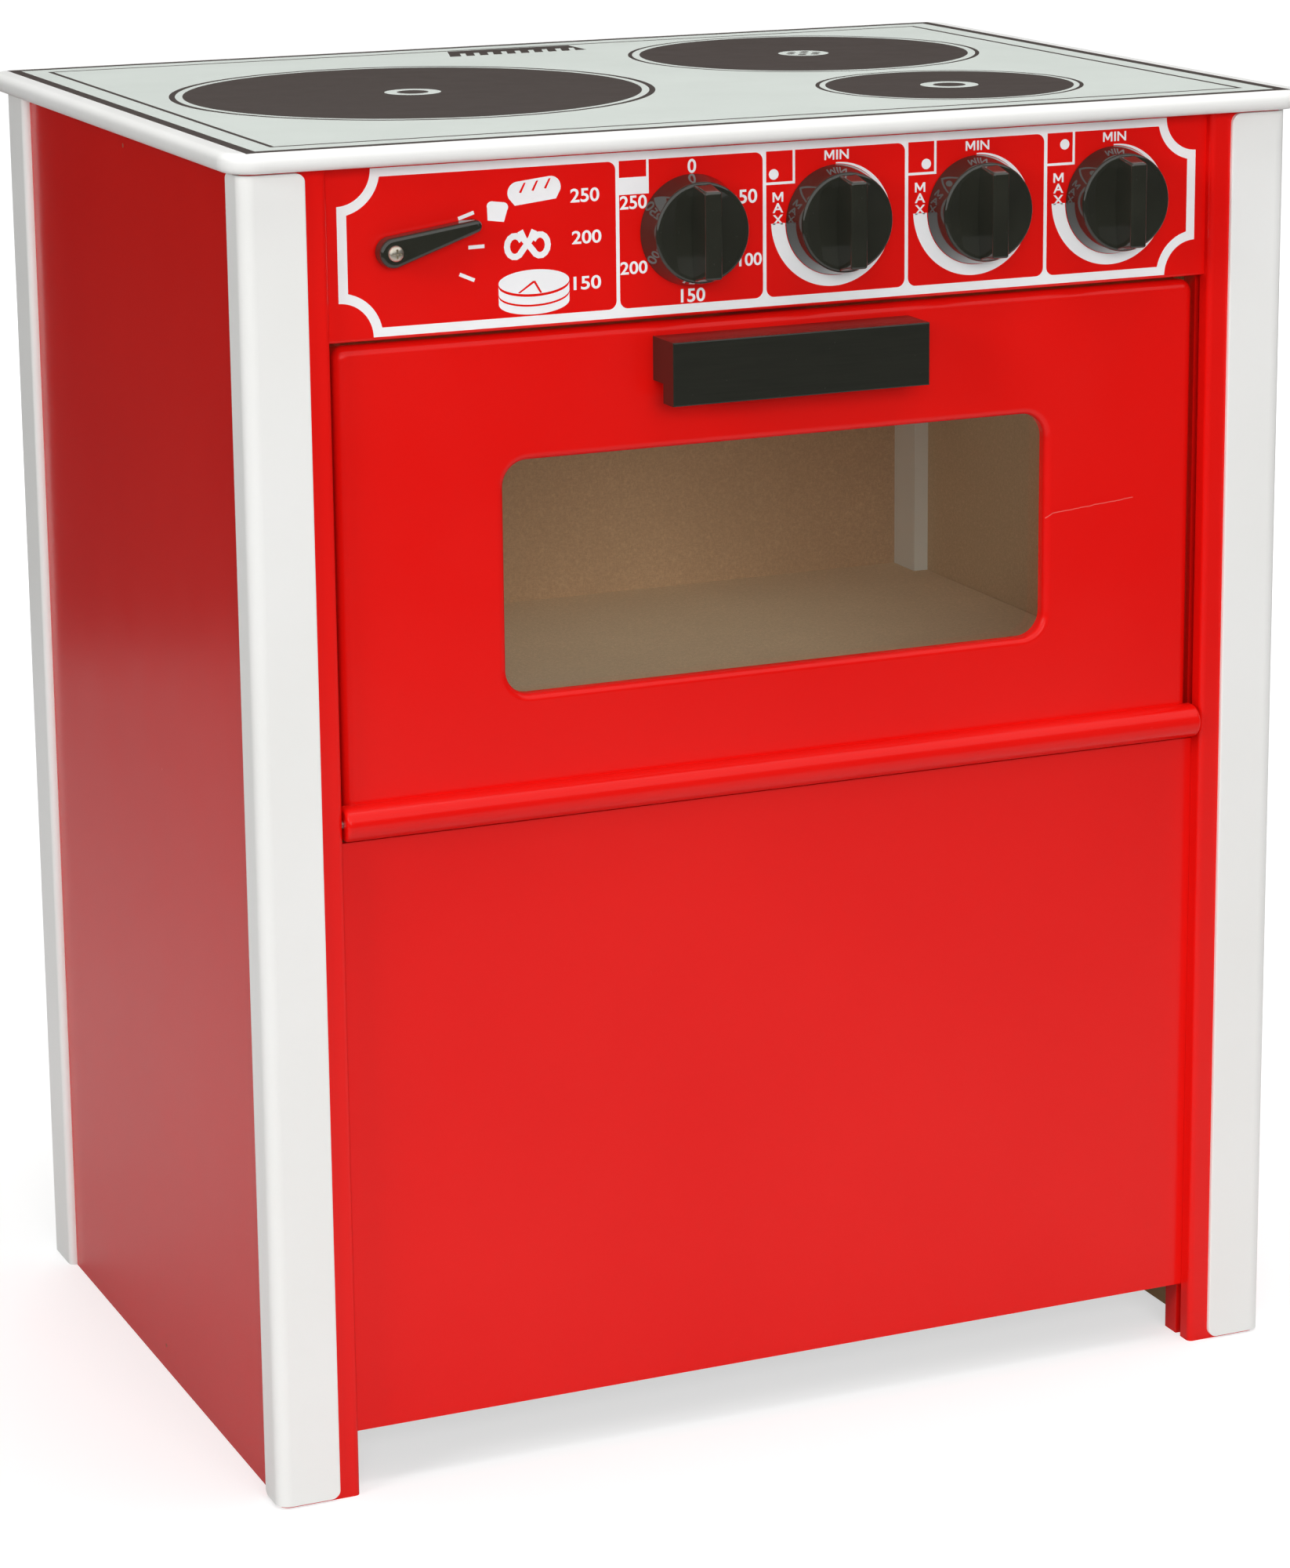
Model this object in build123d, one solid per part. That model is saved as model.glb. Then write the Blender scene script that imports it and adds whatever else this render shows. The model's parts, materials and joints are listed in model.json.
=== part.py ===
from build123d import *
import os
from math import cos, hypot, radians, sin

# Body: width over the corner trims, depth from trims to back panel, height to the cooking surface
body_width = 400.0
body_depth = 282.4
body_height = 480.0

# Hob board
board_thickness = 7.0
board_side_overhang = 6.0
board_front_overhang = 7.0
board_rear_overhang = 8.6
board_corner_radius = 12.0
board_edge_radius = 3.2

# Front posts, with a groove down the inner face for the lower panel
post_width = 29.4
post_depth = 17.9
post_edge_radius = 2.0
groove_front_lip = 6.4
groove_depth = 8.0

# Angled trim strips over the outer corners of the front posts
trim_thickness = 1.6
trim_front_leg = 23.0
trim_side_leg = 15.5
trim_outer_radius = 5.0
trim_end_radius = 3.5
trim_lip_radius = 0.6
trim_end_gap = 1.0

# Rear posts, with a rebate for the back panel
rear_post_width = 19.2
rear_post_depth = 21.9
rear_post_radius = 2.5

# Panels of the carcass
side_panel_thickness = 10.0
side_panel_recess = 2.9
back_panel_thickness = 3.0
back_panel_lap = 7.7
back_panel_end_gap = 0.5
back_panel_toe = 10.0
control_panel_height = 59.8
control_panel_thickness = 12.0
control_panel_setback = 5.3
control_panel_edge_radius = 1.0
lower_panel_thickness = 3.0
lower_panel_toe = 21.5
lower_panel_side_gap = 1.0
groove_side_clearance = 0.2

# Oven floor and the battens inside the carcass
shelf_thickness = 6.0
shelf_above_hinge = 4.8
shelf_side_gap = 0.3
batten_size = 12.0
shelf_batten_size = 10.0
batten_end_gap = 5.5
low_batten_height = 4.0

# Oven door
door_thickness = 12.0
door_setback = 7.0
door_side_gap = 2.8
door_top_gap = 1.7
door_corner_radius = 4.5
door_edge_radius = 3.8
door_swing_clearance = 0.5
window_width = 211.0
window_height = 82.9
window_below_door_top = 44.4
window_corner_radius = 9.0
window_edge_radius = 2.5
window_lip = 5.0
pane_thickness = 2.5
pane_lap = 7.0
pane_edge_clearance = 0.5

# Half-round moulding along the foot of the door, which holds the hinge pins
moulding_radius = 6.2
moulding_drop = 0.4
moulding_flat = 1.8
moulding_gap = 1.5
moulding_end_gap = 0.8
moulding_end_radius = 1.5
hinge_pin_radius = 1.5
hinge_pin_clearance = 0.05
hinge_pin_in_door = 10.0
hinge_pin_in_post = 9.0
hinge_pin_end_gap = 0.3
door_height = 171.1

# Door handle, undercut for the fingers
handle_width = 98.6
handle_height = 22.3
handle_reach = 17.5
handle_lip_thickness = 8.8
handle_undercut = 6.9
handle_below_door_top = 4.6
handle_edge_radius = 0.5

# Control knobs
knob_count = 4
knob_spacing = 55.3
last_knob_from_end = 38.2
knob_below_panel_top = 29.8
knob_base_radius = 19.4
knob_rim_radius = 17.4
knob_rim_height = 10.0
knob_face_height = 8.6
knob_face_radius = 15.6
knob_gap = 0.4
knob_rim_rounding = 1.2
grip_height = 19.2
grip_foot_width = 7.6
grip_front_width = 6.2
grip_foot_length = 34.4
grip_front_length = 30.0
grip_sink = 1.0
grip_rounding = 0.9

# Temperature lever
lever_from_end = 22.7
lever_length = 30.3
lever_hub_radius = 5.2
lever_tip_radius = 2.2
lever_thickness = 5.5
lever_rest_angle = 13.5
lever_edge_radius = 1.5

# Washers and running fits
washer_thickness = 0.6
washer_overhang = 0.6
running_clearance = 0.05
turning_gap = 0.3

# Screws: the radius of each kind's shank, then the radius and height of its head
wood_screw_radius = 1.5
wood_screw_head = 3.0
wood_screw_head_height = 1.8
knob_screw_radius = 2.0
knob_screw_head = 4.0
knob_screw_head_height = 2.4
lever_screw_radius = 1.5
lever_screw_head = 2.75
lever_screw_head_height = 1.6
small_screw_radius = 1.25
small_screw_head = 2.5
small_screw_head_height = 1.4
board_screw_bite = 5.0
batten_screw_bite = 7.0
handle_screw_bite = 11.0
handle_screw_spacing = 64.0
knob_screw_bite = 10.0
lever_screw_bite = 9.0
pane_screw_bite = 3.5
catch_screw_bite = 8.0
strike_screw_bite = 8.0

# Nails and dowels
nail_radius = 0.8
nail_head_radius = 1.6
nail_head_height = 0.6
nail_length = 14.0
side_nail_bite = 8.0
back_nail_rows = 3
back_nail_end = 30.0
nail_edge_distance = 4.0
dowel_radius = 3.0
dowel_length = 30.0
dowel_edge_distance = 15.0

# Magnetic catch behind the control panel and its plate on the door
catch_width = 32.0
catch_ear = 10.0
catch_depth = 13.0
catch_drop = 14.0
catch_flange_height = 16.0
catch_flange_thickness = 3.2
catch_below_panel = 1.2
magnet_width = 24.0
magnet_height = 8.0
magnet_depth = 8.0
strike_width = 24.0
strike_height = 22.0
strike_thickness = 0.8
strike_below_door_top = 1.5
strike_screw_margin = 0.3
catch_gap = 0.3

# Each kind of screw as one value
wood_screw = (wood_screw_radius, wood_screw_head, wood_screw_head_height)
knob_screw = (knob_screw_radius, knob_screw_head, knob_screw_head_height)
lever_screw = (lever_screw_radius, lever_screw_head, lever_screw_head_height)
small_screw = (small_screw_radius, small_screw_head, small_screw_head_height)

# Places that follow from the sizes above; x runs to the right, y to the back, z up
half_width = body_width / 2
post_outer = half_width - trim_thickness
post_inner = post_outer - post_width
post_front = trim_thickness
post_rear = post_front + post_depth
board_under = body_height - board_thickness
side_outer = half_width - side_panel_recess
side_inner = side_outer - side_panel_thickness
rear_post_inner = half_width - rear_post_width
rear_post_front = body_depth - rear_post_depth
back_front = body_depth - back_panel_thickness
panel_bottom = board_under - control_panel_height
panel_front = control_panel_setback
panel_rear = panel_front + control_panel_thickness
door_top = panel_bottom - door_top_gap
door_bottom = door_top - door_height
door_front = door_setback
door_rear = door_front + door_thickness
door_half = post_inner - door_side_gap
moulding_half = post_inner - moulding_end_gap
moulding_bottom = door_bottom - moulding_drop
hinge_y = door_front - moulding_flat
hinge_z = moulding_bottom + moulding_radius
swing_radius = hypot(door_rear - hinge_y, hinge_z - door_bottom)
shelf_front = hinge_y + swing_radius + door_swing_clearance
shelf_top = hinge_z + shelf_above_hinge
shelf_under = shelf_top - shelf_thickness
groove_front = post_front + groove_front_lip
groove_rear = groove_front + lower_panel_thickness + 2 * groove_side_clearance
lower_panel_top = moulding_bottom - moulding_gap
batten_front = post_rear + batten_end_gap
batten_rear = rear_post_front - batten_end_gap
window_top = door_top - window_below_door_top
window_bottom = window_top - window_height
window_z = (window_top + window_bottom) / 2
pane_front = door_front + window_lip
pane_rear = pane_front + pane_thickness
handle_top = door_top - handle_below_door_top
handle_bottom = handle_top - handle_height
handle_front = door_front - handle_reach
handle_screw_z = (handle_top + handle_bottom + handle_undercut) / 2
knob_z = board_under - knob_below_panel_top
last_knob_x = post_inner - last_knob_from_end
knob_xs = [last_knob_x - knob_spacing * i for i in reversed(range(knob_count))]
knob_names = ["oven_knob", "hob_knob_left", "hob_knob_middle", "hob_knob_right"]
lever_x = lever_from_end - post_inner
lever_rear = panel_front - washer_thickness - turning_gap
lever_front = lever_rear - lever_thickness
catch_front = door_rear + strike_thickness + catch_gap
catch_top = panel_bottom + catch_below_panel + catch_flange_height
catch_bottom = panel_bottom - catch_drop
catch_flange_bottom = panel_bottom + catch_below_panel
strike_top = door_top - strike_below_door_top
strike_bottom = strike_top - strike_height
strike_screw_z = strike_bottom + small_screw_head + strike_screw_margin
front_reach = panel_front - grip_height
rear_reach = body_depth + board_rear_overhang
middle_y = (front_reach + rear_reach) / 2


def block(x0, x1, y0, y1, z0, z1):
    """A rectangular block between two corners."""
    middle = Pos((x0 + x1) / 2, (y0 + y1) / 2, (z0 + z1) / 2)
    return middle * Box(x1 - x0, y1 - y0, z1 - z0)


def rod(radius, start, end):
    """A round bar from one point to another."""
    line = Vector(*end) - Vector(*start)
    upright = Cylinder(radius, line.length, align=(Align.CENTER, Align.CENTER, Align.MIN))
    return Plane(origin=start, z_dir=line) * upright


def plate(sketch, front, rear):
    """A sketch drawn in x and z, made solid between two depths."""
    return extrude(Plane.XZ.offset(-rear) * sketch, rear - front)


def bar(sketch, half_length):
    """A cross-section drawn in y and z, run sideways to both sides of the middle."""
    return extrude(Plane.YZ * sketch, half_length, both=True)


def screw(kind, seat, way, bite):
    """A plain pan-head screw with its head on the point seat and its shank running along way."""
    shank, head, height = kind
    seat, way = Vector(*seat), Vector(*way)
    return rod(head, seat - way * height, seat) + rod(shank, seat, seat + way * bite)


def hole(kind, seat, way, bite, clearance=0.0):
    """The hole for a screw's shank, or for its running fit."""
    seat, way = Vector(*seat), Vector(*way)
    return rod(kind[0] + clearance, seat, seat + way * bite)


def group(pieces):
    """Separate solids that share one node."""
    return Compound([solid for piece in pieces for solid in piece.solids()])


def both_sides(piece):
    """A right-hand piece and its mirror image."""
    return piece, mirror(piece, Plane.YZ)


def outline(*points):
    """A flat face with straight sides through the points."""
    return make_face(Polyline(*points, close=True))


# Where the fasteners sit
board_screw_length = batten_size + board_screw_bite
batten_x = side_inner - batten_size / 2
board_screw_seats = [
    (x, y, board_under - batten_size)
    for x in (-batten_x, batten_x)
    for y in (batten_front + body_depth / 8, batten_rear - body_depth / 8)
]
rail_y = back_front - batten_size / 2
board_screw_seats += [(0, rail_y, board_under - batten_size)]
shelf_batten_z = shelf_under - shelf_batten_size / 2
batten_screw_seats = [
    (side_inner - shelf_batten_size, y, shelf_batten_z)
    for y in (batten_front + body_depth / 8, batten_rear - body_depth / 8)
]
side_nail_y = (post_rear + rear_post_front) / 2
side_nail_zs = (low_batten_height + batten_size / 2, board_under - batten_size / 2)
nail_x = rear_post_inner + nail_edge_distance
nail_step = (board_under - back_panel_toe - 2 * back_nail_end) / (back_nail_rows - 1)
back_nail_places = [
    (x, back_panel_toe + back_nail_end + nail_step * i)
    for x in (-nail_x, nail_x)
    for i in range(back_nail_rows)
]
back_nail_places += [(0, shelf_under + shelf_thickness / 2)]
back_nail_places += [(x, board_under - batten_size / 2) for x in (-half_width / 2, half_width / 2)]
dowel_y = panel_front + control_panel_thickness / 2
dowel_zs = (panel_bottom + dowel_edge_distance, board_under - dowel_edge_distance)
handle_screw_xs = (-handle_screw_spacing / 2, handle_screw_spacing / 2)
handle_screw_seats = [(x, door_rear, handle_screw_z) for x in handle_screw_xs]
pane_screw_x = window_width / 2 + pane_lap / 2
pane_screw_rise = window_height / 2 + pane_lap / 2
pane_screw_places = [
    (-pane_screw_x, window_z - pane_screw_rise),
    (pane_screw_x, window_z - pane_screw_rise),
    (-pane_screw_x, window_z + pane_screw_rise),
    (pane_screw_x, window_z + pane_screw_rise),
]
catch_screw_x = catch_width / 2 + catch_ear / 2
catch_screw_z = (catch_flange_bottom + catch_top) / 2
catch_flange_rear = panel_rear + catch_flange_thickness
catch_screw_seats = [(x, catch_flange_rear, catch_screw_z) for x in (-catch_screw_x, catch_screw_x)]
strike_screw_seat = (0, door_rear + strike_thickness, strike_screw_z)
knob_seat_y = panel_rear + washer_thickness + turning_gap
knob_screw_length = knob_seat_y - (panel_front - knob_gap) + knob_screw_bite
lever_seat_y = lever_front - turning_gap
lever_screw_length = panel_front - lever_seat_y + lever_screw_bite
forward = (0, -1, 0)
backward = (0, 1, 0)
upward = (0, 0, 1)
outward = (1, 0, 0)


def back_nail_hole(x, z):
    """The hole of one nail, through the back panel and into the wood in front of it."""
    return rod(nail_radius, (x, body_depth, z), (x, body_depth - nail_length, z))


def side_nail(z):
    """One headless pin, through the right-hand side panel and into its batten."""
    return rod(nail_radius, (side_inner - side_nail_bite, side_nail_y, z), (side_outer, side_nail_y, z))


def hob_board():
    """The top board with rounded corners and a bullnose edge."""
    front = -board_front_overhang
    width = body_width + 2 * board_side_overhang
    plan = RectangleRounded(width, rear_reach - front, board_corner_radius)
    board = extrude(Pos(0, (front + rear_reach) / 2, board_under) * plan, board_thickness)
    rims = board.edges().group_by(Axis.Z)
    board = fillet(rims[0] + rims[-1], board_edge_radius)
    for seat in board_screw_seats:
        board -= hole(wood_screw, seat, upward, board_screw_length)
    return board


def front_post():
    """The right-hand front post: grooved, drilled for the hinge pin and the dowels."""
    section = outline(
        (post_inner, post_front), (post_outer, post_front), (post_outer, post_rear), (post_inner, post_rear)
    )
    corners = section.vertices().sort_by(Axis.Y)[:2].sort_by(Axis.X)
    section = fillet(corners[1], trim_outer_radius - trim_thickness)
    inner_corner = section.vertices().sort_by(lambda v: v.X + v.Y)[0]
    section = fillet(inner_corner, post_edge_radius)
    post = extrude(section, board_under)
    post -= block(post_inner, post_inner + groove_depth, groove_front, groove_rear, 0, board_under)
    pin_end = post_inner + hinge_pin_in_post + hinge_pin_end_gap
    pin_hole = hinge_pin_radius + hinge_pin_clearance
    post -= rod(pin_hole, (post_inner, hinge_y, hinge_z), (pin_end, hinge_y, hinge_z))
    for z in dowel_zs:
        post -= rod(dowel_radius, (post_inner, dowel_y, z), (post_inner + dowel_length / 2, dowel_y, z))
    return post


def corner_trim():
    """The right-hand angle strip, wrapped round the post's outer corner."""
    leg_end = half_width - trim_front_leg
    section = outline(
        (leg_end, 0),
        (half_width, 0),
        (half_width, trim_side_leg),
        (post_outer, trim_side_leg),
        (post_outer, trim_thickness),
        (leg_end, trim_thickness),
    )
    outer = section.vertices().sort_by(lambda v: v.Y - v.X)[0]
    section = fillet(outer, trim_outer_radius)
    inner = section.vertices().sort_by_distance((post_outer, trim_thickness))[0]
    section = fillet(inner, trim_outer_radius - trim_thickness)
    lips = [section.vertices().sort_by_distance(p)[0] for p in ((leg_end, 0), (half_width, trim_side_leg))]
    section = fillet(lips, trim_lip_radius)
    strip = extrude(Pos(0, 0, trim_end_gap) * section, board_under - 2 * trim_end_gap)
    height = board_under - 2 * trim_end_gap
    front_view = RectangleRounded(2 * half_width, height, trim_end_radius)
    middle = (board_under) / 2
    front_cut = plate(Pos(leg_end + half_width, middle) * front_view, 0, trim_side_leg)
    side_view = RectangleRounded(2 * trim_side_leg, height, trim_end_radius)
    side_cut = bar(Pos(0, middle) * side_view, half_width)
    return strip & front_cut & side_cut


def rear_post():
    """The right-hand rear post, rebated for the back panel."""
    section = outline(
        (rear_post_inner, rear_post_front),
        (half_width, rear_post_front),
        (half_width, body_depth),
        (rear_post_inner + back_panel_lap + back_panel_end_gap, body_depth),
        (rear_post_inner + back_panel_lap + back_panel_end_gap, back_front),
        (rear_post_inner, back_front),
    )
    right = section.vertices().sort_by(Axis.X)[-2:]
    section = fillet(right, rear_post_radius)
    post = extrude(section, board_under)
    for x, z in back_nail_places:
        if x > rear_post_inner:
            post -= back_nail_hole(x, z)
    return post


def side_panel():
    """The right-hand side panel, between the posts."""
    panel = block(side_inner, side_outer, post_rear, rear_post_front, 0, board_under)
    for z in side_nail_zs:
        panel -= side_nail(z)
    for seat in batten_screw_seats:
        panel -= hole(wood_screw, seat, outward, shelf_batten_size + batten_screw_bite)
    return panel


def back_panel():
    """The thin back, nailed to the posts, the shelf and the top rail."""
    reach = rear_post_inner + back_panel_lap
    panel = block(-reach, reach, back_front, body_depth, back_panel_toe, board_under)
    for x, z in back_nail_places:
        panel -= back_nail_hole(x, z)
    return panel


def control_panel():
    """The printed panel above the door, drilled for the knobs, the lever, the catch and the dowels."""
    panel = block(-post_inner, post_inner, panel_front, panel_rear, panel_bottom, board_under)
    low_front = panel.edges().filter_by(Axis.X).sort_by(lambda e: e.center().Y + e.center().Z)[0]
    panel = fillet(low_front, control_panel_edge_radius)
    for x in knob_xs:
        seat = (x, panel_rear, knob_z)
        panel -= hole(knob_screw, seat, forward, control_panel_thickness, running_clearance)
    panel -= hole(lever_screw, (lever_x, panel_front, knob_z), backward, lever_screw_bite)
    for seat in catch_screw_seats:
        panel -= hole(small_screw, seat, forward, catch_flange_thickness + catch_screw_bite)
    for z in dowel_zs:
        for side in (-1, 1):
            start = (side * (post_inner - dowel_length / 2), dowel_y, z)
            panel -= rod(dowel_radius, start, (side * post_inner, dowel_y, z))
    return panel


def lower_panel():
    """The thin front below the door, held in the posts' grooves."""
    reach = post_inner + groove_depth - lower_panel_side_gap
    front = groove_front + groove_side_clearance
    return block(-reach, reach, front, front + lower_panel_thickness, lower_panel_toe, lower_panel_top)


def oven_shelf():
    """The oven's floor, notched round the rear posts."""
    reach = side_inner - shelf_side_gap
    notch_x = rear_post_inner - shelf_side_gap
    notch_y = rear_post_front - shelf_side_gap
    shelf = block(-reach, reach, shelf_front, back_front, shelf_under, shelf_top)
    for x0, x1 in ((-reach, -notch_x), (notch_x, reach)):
        shelf -= block(x0, x1, notch_y, back_front, shelf_under, shelf_top)
    for x, z in back_nail_places:
        shelf -= back_nail_hole(x, z)
    return shelf


def shelf_batten():
    """The right-hand batten under the oven's floor, screwed to the side panel."""
    low = shelf_under - shelf_batten_size
    batten = block(side_inner - shelf_batten_size, side_inner, batten_front, batten_rear, low, shelf_under)
    for seat in batten_screw_seats:
        batten -= hole(wood_screw, seat, outward, shelf_batten_size)
    return batten


def side_batten(low, nail_z):
    """A right-hand batten along the inside of the side panel, pinned through the panel."""
    batten = block(side_inner - batten_size, side_inner, batten_front, batten_rear, low, low + batten_size)
    return batten - side_nail(nail_z)


def top_batten():
    """The right-hand batten that the hob board is screwed to."""
    batten = side_batten(board_under - batten_size, side_nail_zs[1])
    for seat in board_screw_seats:
        batten -= hole(wood_screw, seat, upward, batten_size)
    return batten


def top_rail():
    """The rail between the rear posts, under the hob board."""
    low = board_under - batten_size
    rail = block(-rear_post_inner, rear_post_inner, back_front - batten_size, back_front, low, board_under)
    for seat in board_screw_seats:
        rail -= hole(wood_screw, seat, upward, batten_size)
    for x, z in back_nail_places:
        rail -= back_nail_hole(x, z)
    return rail


def side_nails():
    """The pins through the side panels into the battens."""
    return group([nail for z in side_nail_zs for nail in both_sides(side_nail(z))])


def back_nails():
    """The nails of the back panel, each with a flat head."""
    nails = []
    for x, z in back_nail_places:
        head = rod(nail_head_radius, (x, body_depth, z), (x, body_depth + nail_head_height, z))
        nails.append(back_nail_hole(x, z) + head)
    return group(nails)


def panel_dowels():
    """The dowels that tie the control panel to the front posts."""
    start, end = post_inner - dowel_length / 2, post_inner + dowel_length / 2
    dowels = [rod(dowel_radius, (start, dowel_y, z), (end, dowel_y, z)) for z in dowel_zs]
    return group([dowel for one in dowels for dowel in both_sides(one)])


def catch_body():
    """The catch's housing: a screwed flange and a block that holds the magnet."""
    half = catch_width / 2
    body = block(-half, half, catch_front, catch_front + catch_depth, catch_bottom, catch_top)
    ear = half + catch_ear
    body += block(-ear, ear, panel_rear, catch_flange_rear, catch_flange_bottom, catch_top)
    for seat in catch_screw_seats:
        body -= hole(small_screw, seat, forward, catch_flange_thickness)
    return body - catch_magnet()


def catch_magnet():
    """The magnet, flush with the front of the catch."""
    middle = (catch_bottom + panel_bottom) / 2
    low, high = middle - magnet_height / 2, middle + magnet_height / 2
    return block(-magnet_width / 2, magnet_width / 2, catch_front, catch_front + magnet_depth, low, high)


def strike_plate():
    """The steel plate on the door that the magnet holds."""
    half = strike_width / 2
    piece = block(-half, half, door_rear, door_rear + strike_thickness, strike_bottom, strike_top)
    return piece - hole(small_screw, strike_screw_seat, forward, strike_thickness)


def window_outline(margin, corner):
    """The window's outline, made larger by a margin."""
    size = RectangleRounded(window_width + 2 * margin, window_height + 2 * margin, corner)
    return Pos(0, window_z) * size


def oven_door():
    """The door: soft front edges, a rounded window and a rebate behind it for the pane."""
    face = outline(
        (-door_half, door_bottom), (door_half, door_bottom), (door_half, door_top), (-door_half, door_top)
    )
    face = fillet(face.vertices().sort_by(Axis.Y)[-2:], door_corner_radius)
    door = plate(face, door_front, door_rear)
    rim = door.faces().sort_by(Axis.Y)[0].edges()
    door = fillet(rim.filter_by(lambda e: e.center().Z > door_bottom + door_edge_radius), door_edge_radius)
    door -= plate(window_outline(0, window_corner_radius), door_front, door_rear)
    window_rim = door.faces().sort_by(Axis.Y)[0].inner_wires()[0].edges()
    door = fillet(window_rim, window_edge_radius)
    rebate = window_outline(pane_lap + pane_edge_clearance, window_corner_radius / 2)
    door -= plate(rebate, pane_front, door_rear)
    for x, z in pane_screw_places:
        door -= hole(small_screw, (x, pane_rear, z), forward, pane_thickness + pane_screw_bite)
    for seat in handle_screw_seats:
        door -= hole(wood_screw, seat, forward, door_thickness)
    return door - hole(small_screw, strike_screw_seat, forward, strike_thickness + strike_screw_bite)


def door_pane():
    """The clear sheet behind the window."""
    pane = plate(window_outline(pane_lap, window_corner_radius / 2), pane_front, pane_rear)
    for x, z in pane_screw_places:
        pane -= hole(small_screw, (x, pane_rear, z), forward, pane_thickness)
    return pane


def door_moulding():
    """The half-round along the foot of the door, drilled at its ends for the hinge pins."""
    low, high = (hinge_y, moulding_bottom), (hinge_y, moulding_bottom + 2 * moulding_radius)
    nose = ThreePointArc(low, (hinge_y - moulding_radius, hinge_z), high)
    back = Polyline(high, (door_front, high[1]), (door_front, low[1]), low)
    moulding = bar(make_face(nose + back), moulding_half)
    ends = moulding.faces().sort_by(Axis.X)
    rims = (ends[0].edges() + ends[-1].edges()).filter_by(lambda e: e.center().Y < door_front)
    moulding = fillet(rims, moulding_end_radius)
    for side in (-1, 1):
        start = (side * (moulding_half - hinge_pin_in_door), hinge_y, hinge_z)
        moulding -= rod(hinge_pin_radius, start, (side * moulding_half, hinge_y, hinge_z))
    return moulding


def hinge_pin():
    """The right-hand hinge pin, tight in the moulding and free in the post."""
    start = moulding_half - hinge_pin_in_door
    end = post_inner + hinge_pin_in_post
    return rod(hinge_pin_radius, (start, hinge_y, hinge_z), (end, hinge_y, hinge_z))


def door_handle():
    """The handle bar, with its lower rear edge cut away for the fingers."""
    lip_rear = handle_front + handle_lip_thickness
    step = handle_bottom + handle_undercut
    section = outline(
        (handle_front, handle_bottom),
        (lip_rear, handle_bottom),
        (lip_rear, step),
        (door_front, step),
        (door_front, handle_top),
        (handle_front, handle_top),
    )
    handle = bar(section, handle_width / 2)
    handle = fillet(handle.faces().sort_by(Axis.Y)[0].edges(), handle_edge_radius)
    for x, y, z in handle_screw_seats:
        handle -= hole(wood_screw, (x, door_front, z), forward, handle_screw_bite)
    return handle


def grip_view(foot, front):
    """The grip's outline from one side, narrower at the front than at the foot."""
    low = knob_face_height - grip_sink
    return outline((-foot / 2, low), (foot / 2, low), (front / 2, grip_height), (-front / 2, grip_height))


def knob_grip():
    """The grip across a knob's face, tapered both ways and rounded along its edges."""
    end_view = Plane.XZ * grip_view(grip_foot_width, grip_front_width)
    side_view = Plane.YZ * grip_view(grip_foot_length, grip_front_length)
    grip = extrude(end_view, grip_foot_length, both=True) & extrude(side_view, grip_foot_width, both=True)
    foot_edges = grip.edges().group_by(Axis.Z)[0]
    return fillet(grip.edges() - foot_edges, grip_rounding)


def knob_shape():
    """A knob standing on its base: a tapered disc with a dished face and a tapered grip across it."""
    middle, lip = (0, knob_face_height), (knob_face_radius, knob_rim_height)
    dish = TangentArc(middle, lip, tangent=(1, 0))
    foot, rim = (knob_base_radius, knob_gap), (knob_rim_radius, knob_rim_height)
    profile = make_face(dish + Polyline(lip, rim, foot, (0, knob_gap), middle))
    by_place = profile.vertices().sort_by_distance
    profile = fillet(by_place(rim)[0], knob_rim_rounding)
    disc = revolve(Plane.XZ * profile, Axis.Z)
    return disc + knob_grip() - Cylinder(knob_screw[0], 2 * (knob_gap + knob_screw_bite))


def knob(x):
    """One knob in its place on the panel, its grip upright."""
    return Plane(origin=(x, panel_front, knob_z), x_dir=(1, 0, 0), z_dir=forward) * knob_shape()


def knob_fixing(x):
    """The screw that holds one knob from behind the panel."""
    return screw(knob_screw, (x, knob_seat_y, knob_z), forward, knob_screw_length)


def ring(kind, x, front, clearance):
    """A flat washer for a screw through the panel."""
    outer = rod(kind[1] + washer_overhang, (x, front, knob_z), (x, front + washer_thickness, knob_z))
    return outer - rod(kind[0] + clearance, (x, front, knob_z), (x, front + washer_thickness, knob_z))


def knob_washers():
    """The washers behind the panel, under the knob screws' heads."""
    return group([ring(knob_screw, x, panel_rear, running_clearance) for x in knob_xs])


def lever_arm():
    """The lever: a flat arm that tapers from its hub to its tip."""
    ends = Circle(lever_hub_radius) + Pos(lever_length, 0) * Circle(lever_tip_radius)
    arm = extrude(make_hull(ends.edges()), lever_thickness)
    arm = fillet(arm.faces().sort_by(Axis.Z)[-1].edges(), lever_edge_radius)
    arm -= Cylinder(lever_screw[0] + running_clearance, 3 * lever_thickness)
    tilt = radians(lever_rest_angle)
    along = (cos(tilt), 0, sin(tilt))
    return Plane(origin=(lever_x, lever_rear, knob_z), x_dir=along, z_dir=forward) * arm


def lever_fixing():
    """The screw that the lever turns on."""
    return screw(lever_screw, (lever_x, lever_seat_y, knob_z), backward, lever_screw_length)


right_hand = {
    "front_post": front_post(),
    "corner_trim": corner_trim(),
    "rear_post": rear_post(),
    "side_panel": side_panel(),
    "shelf_batten": shelf_batten(),
    "top_batten": top_batten(),
    "low_batten": side_batten(low_batten_height, side_nail_zs[0]),
    "hinge_pin": hinge_pin(),
}

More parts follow.
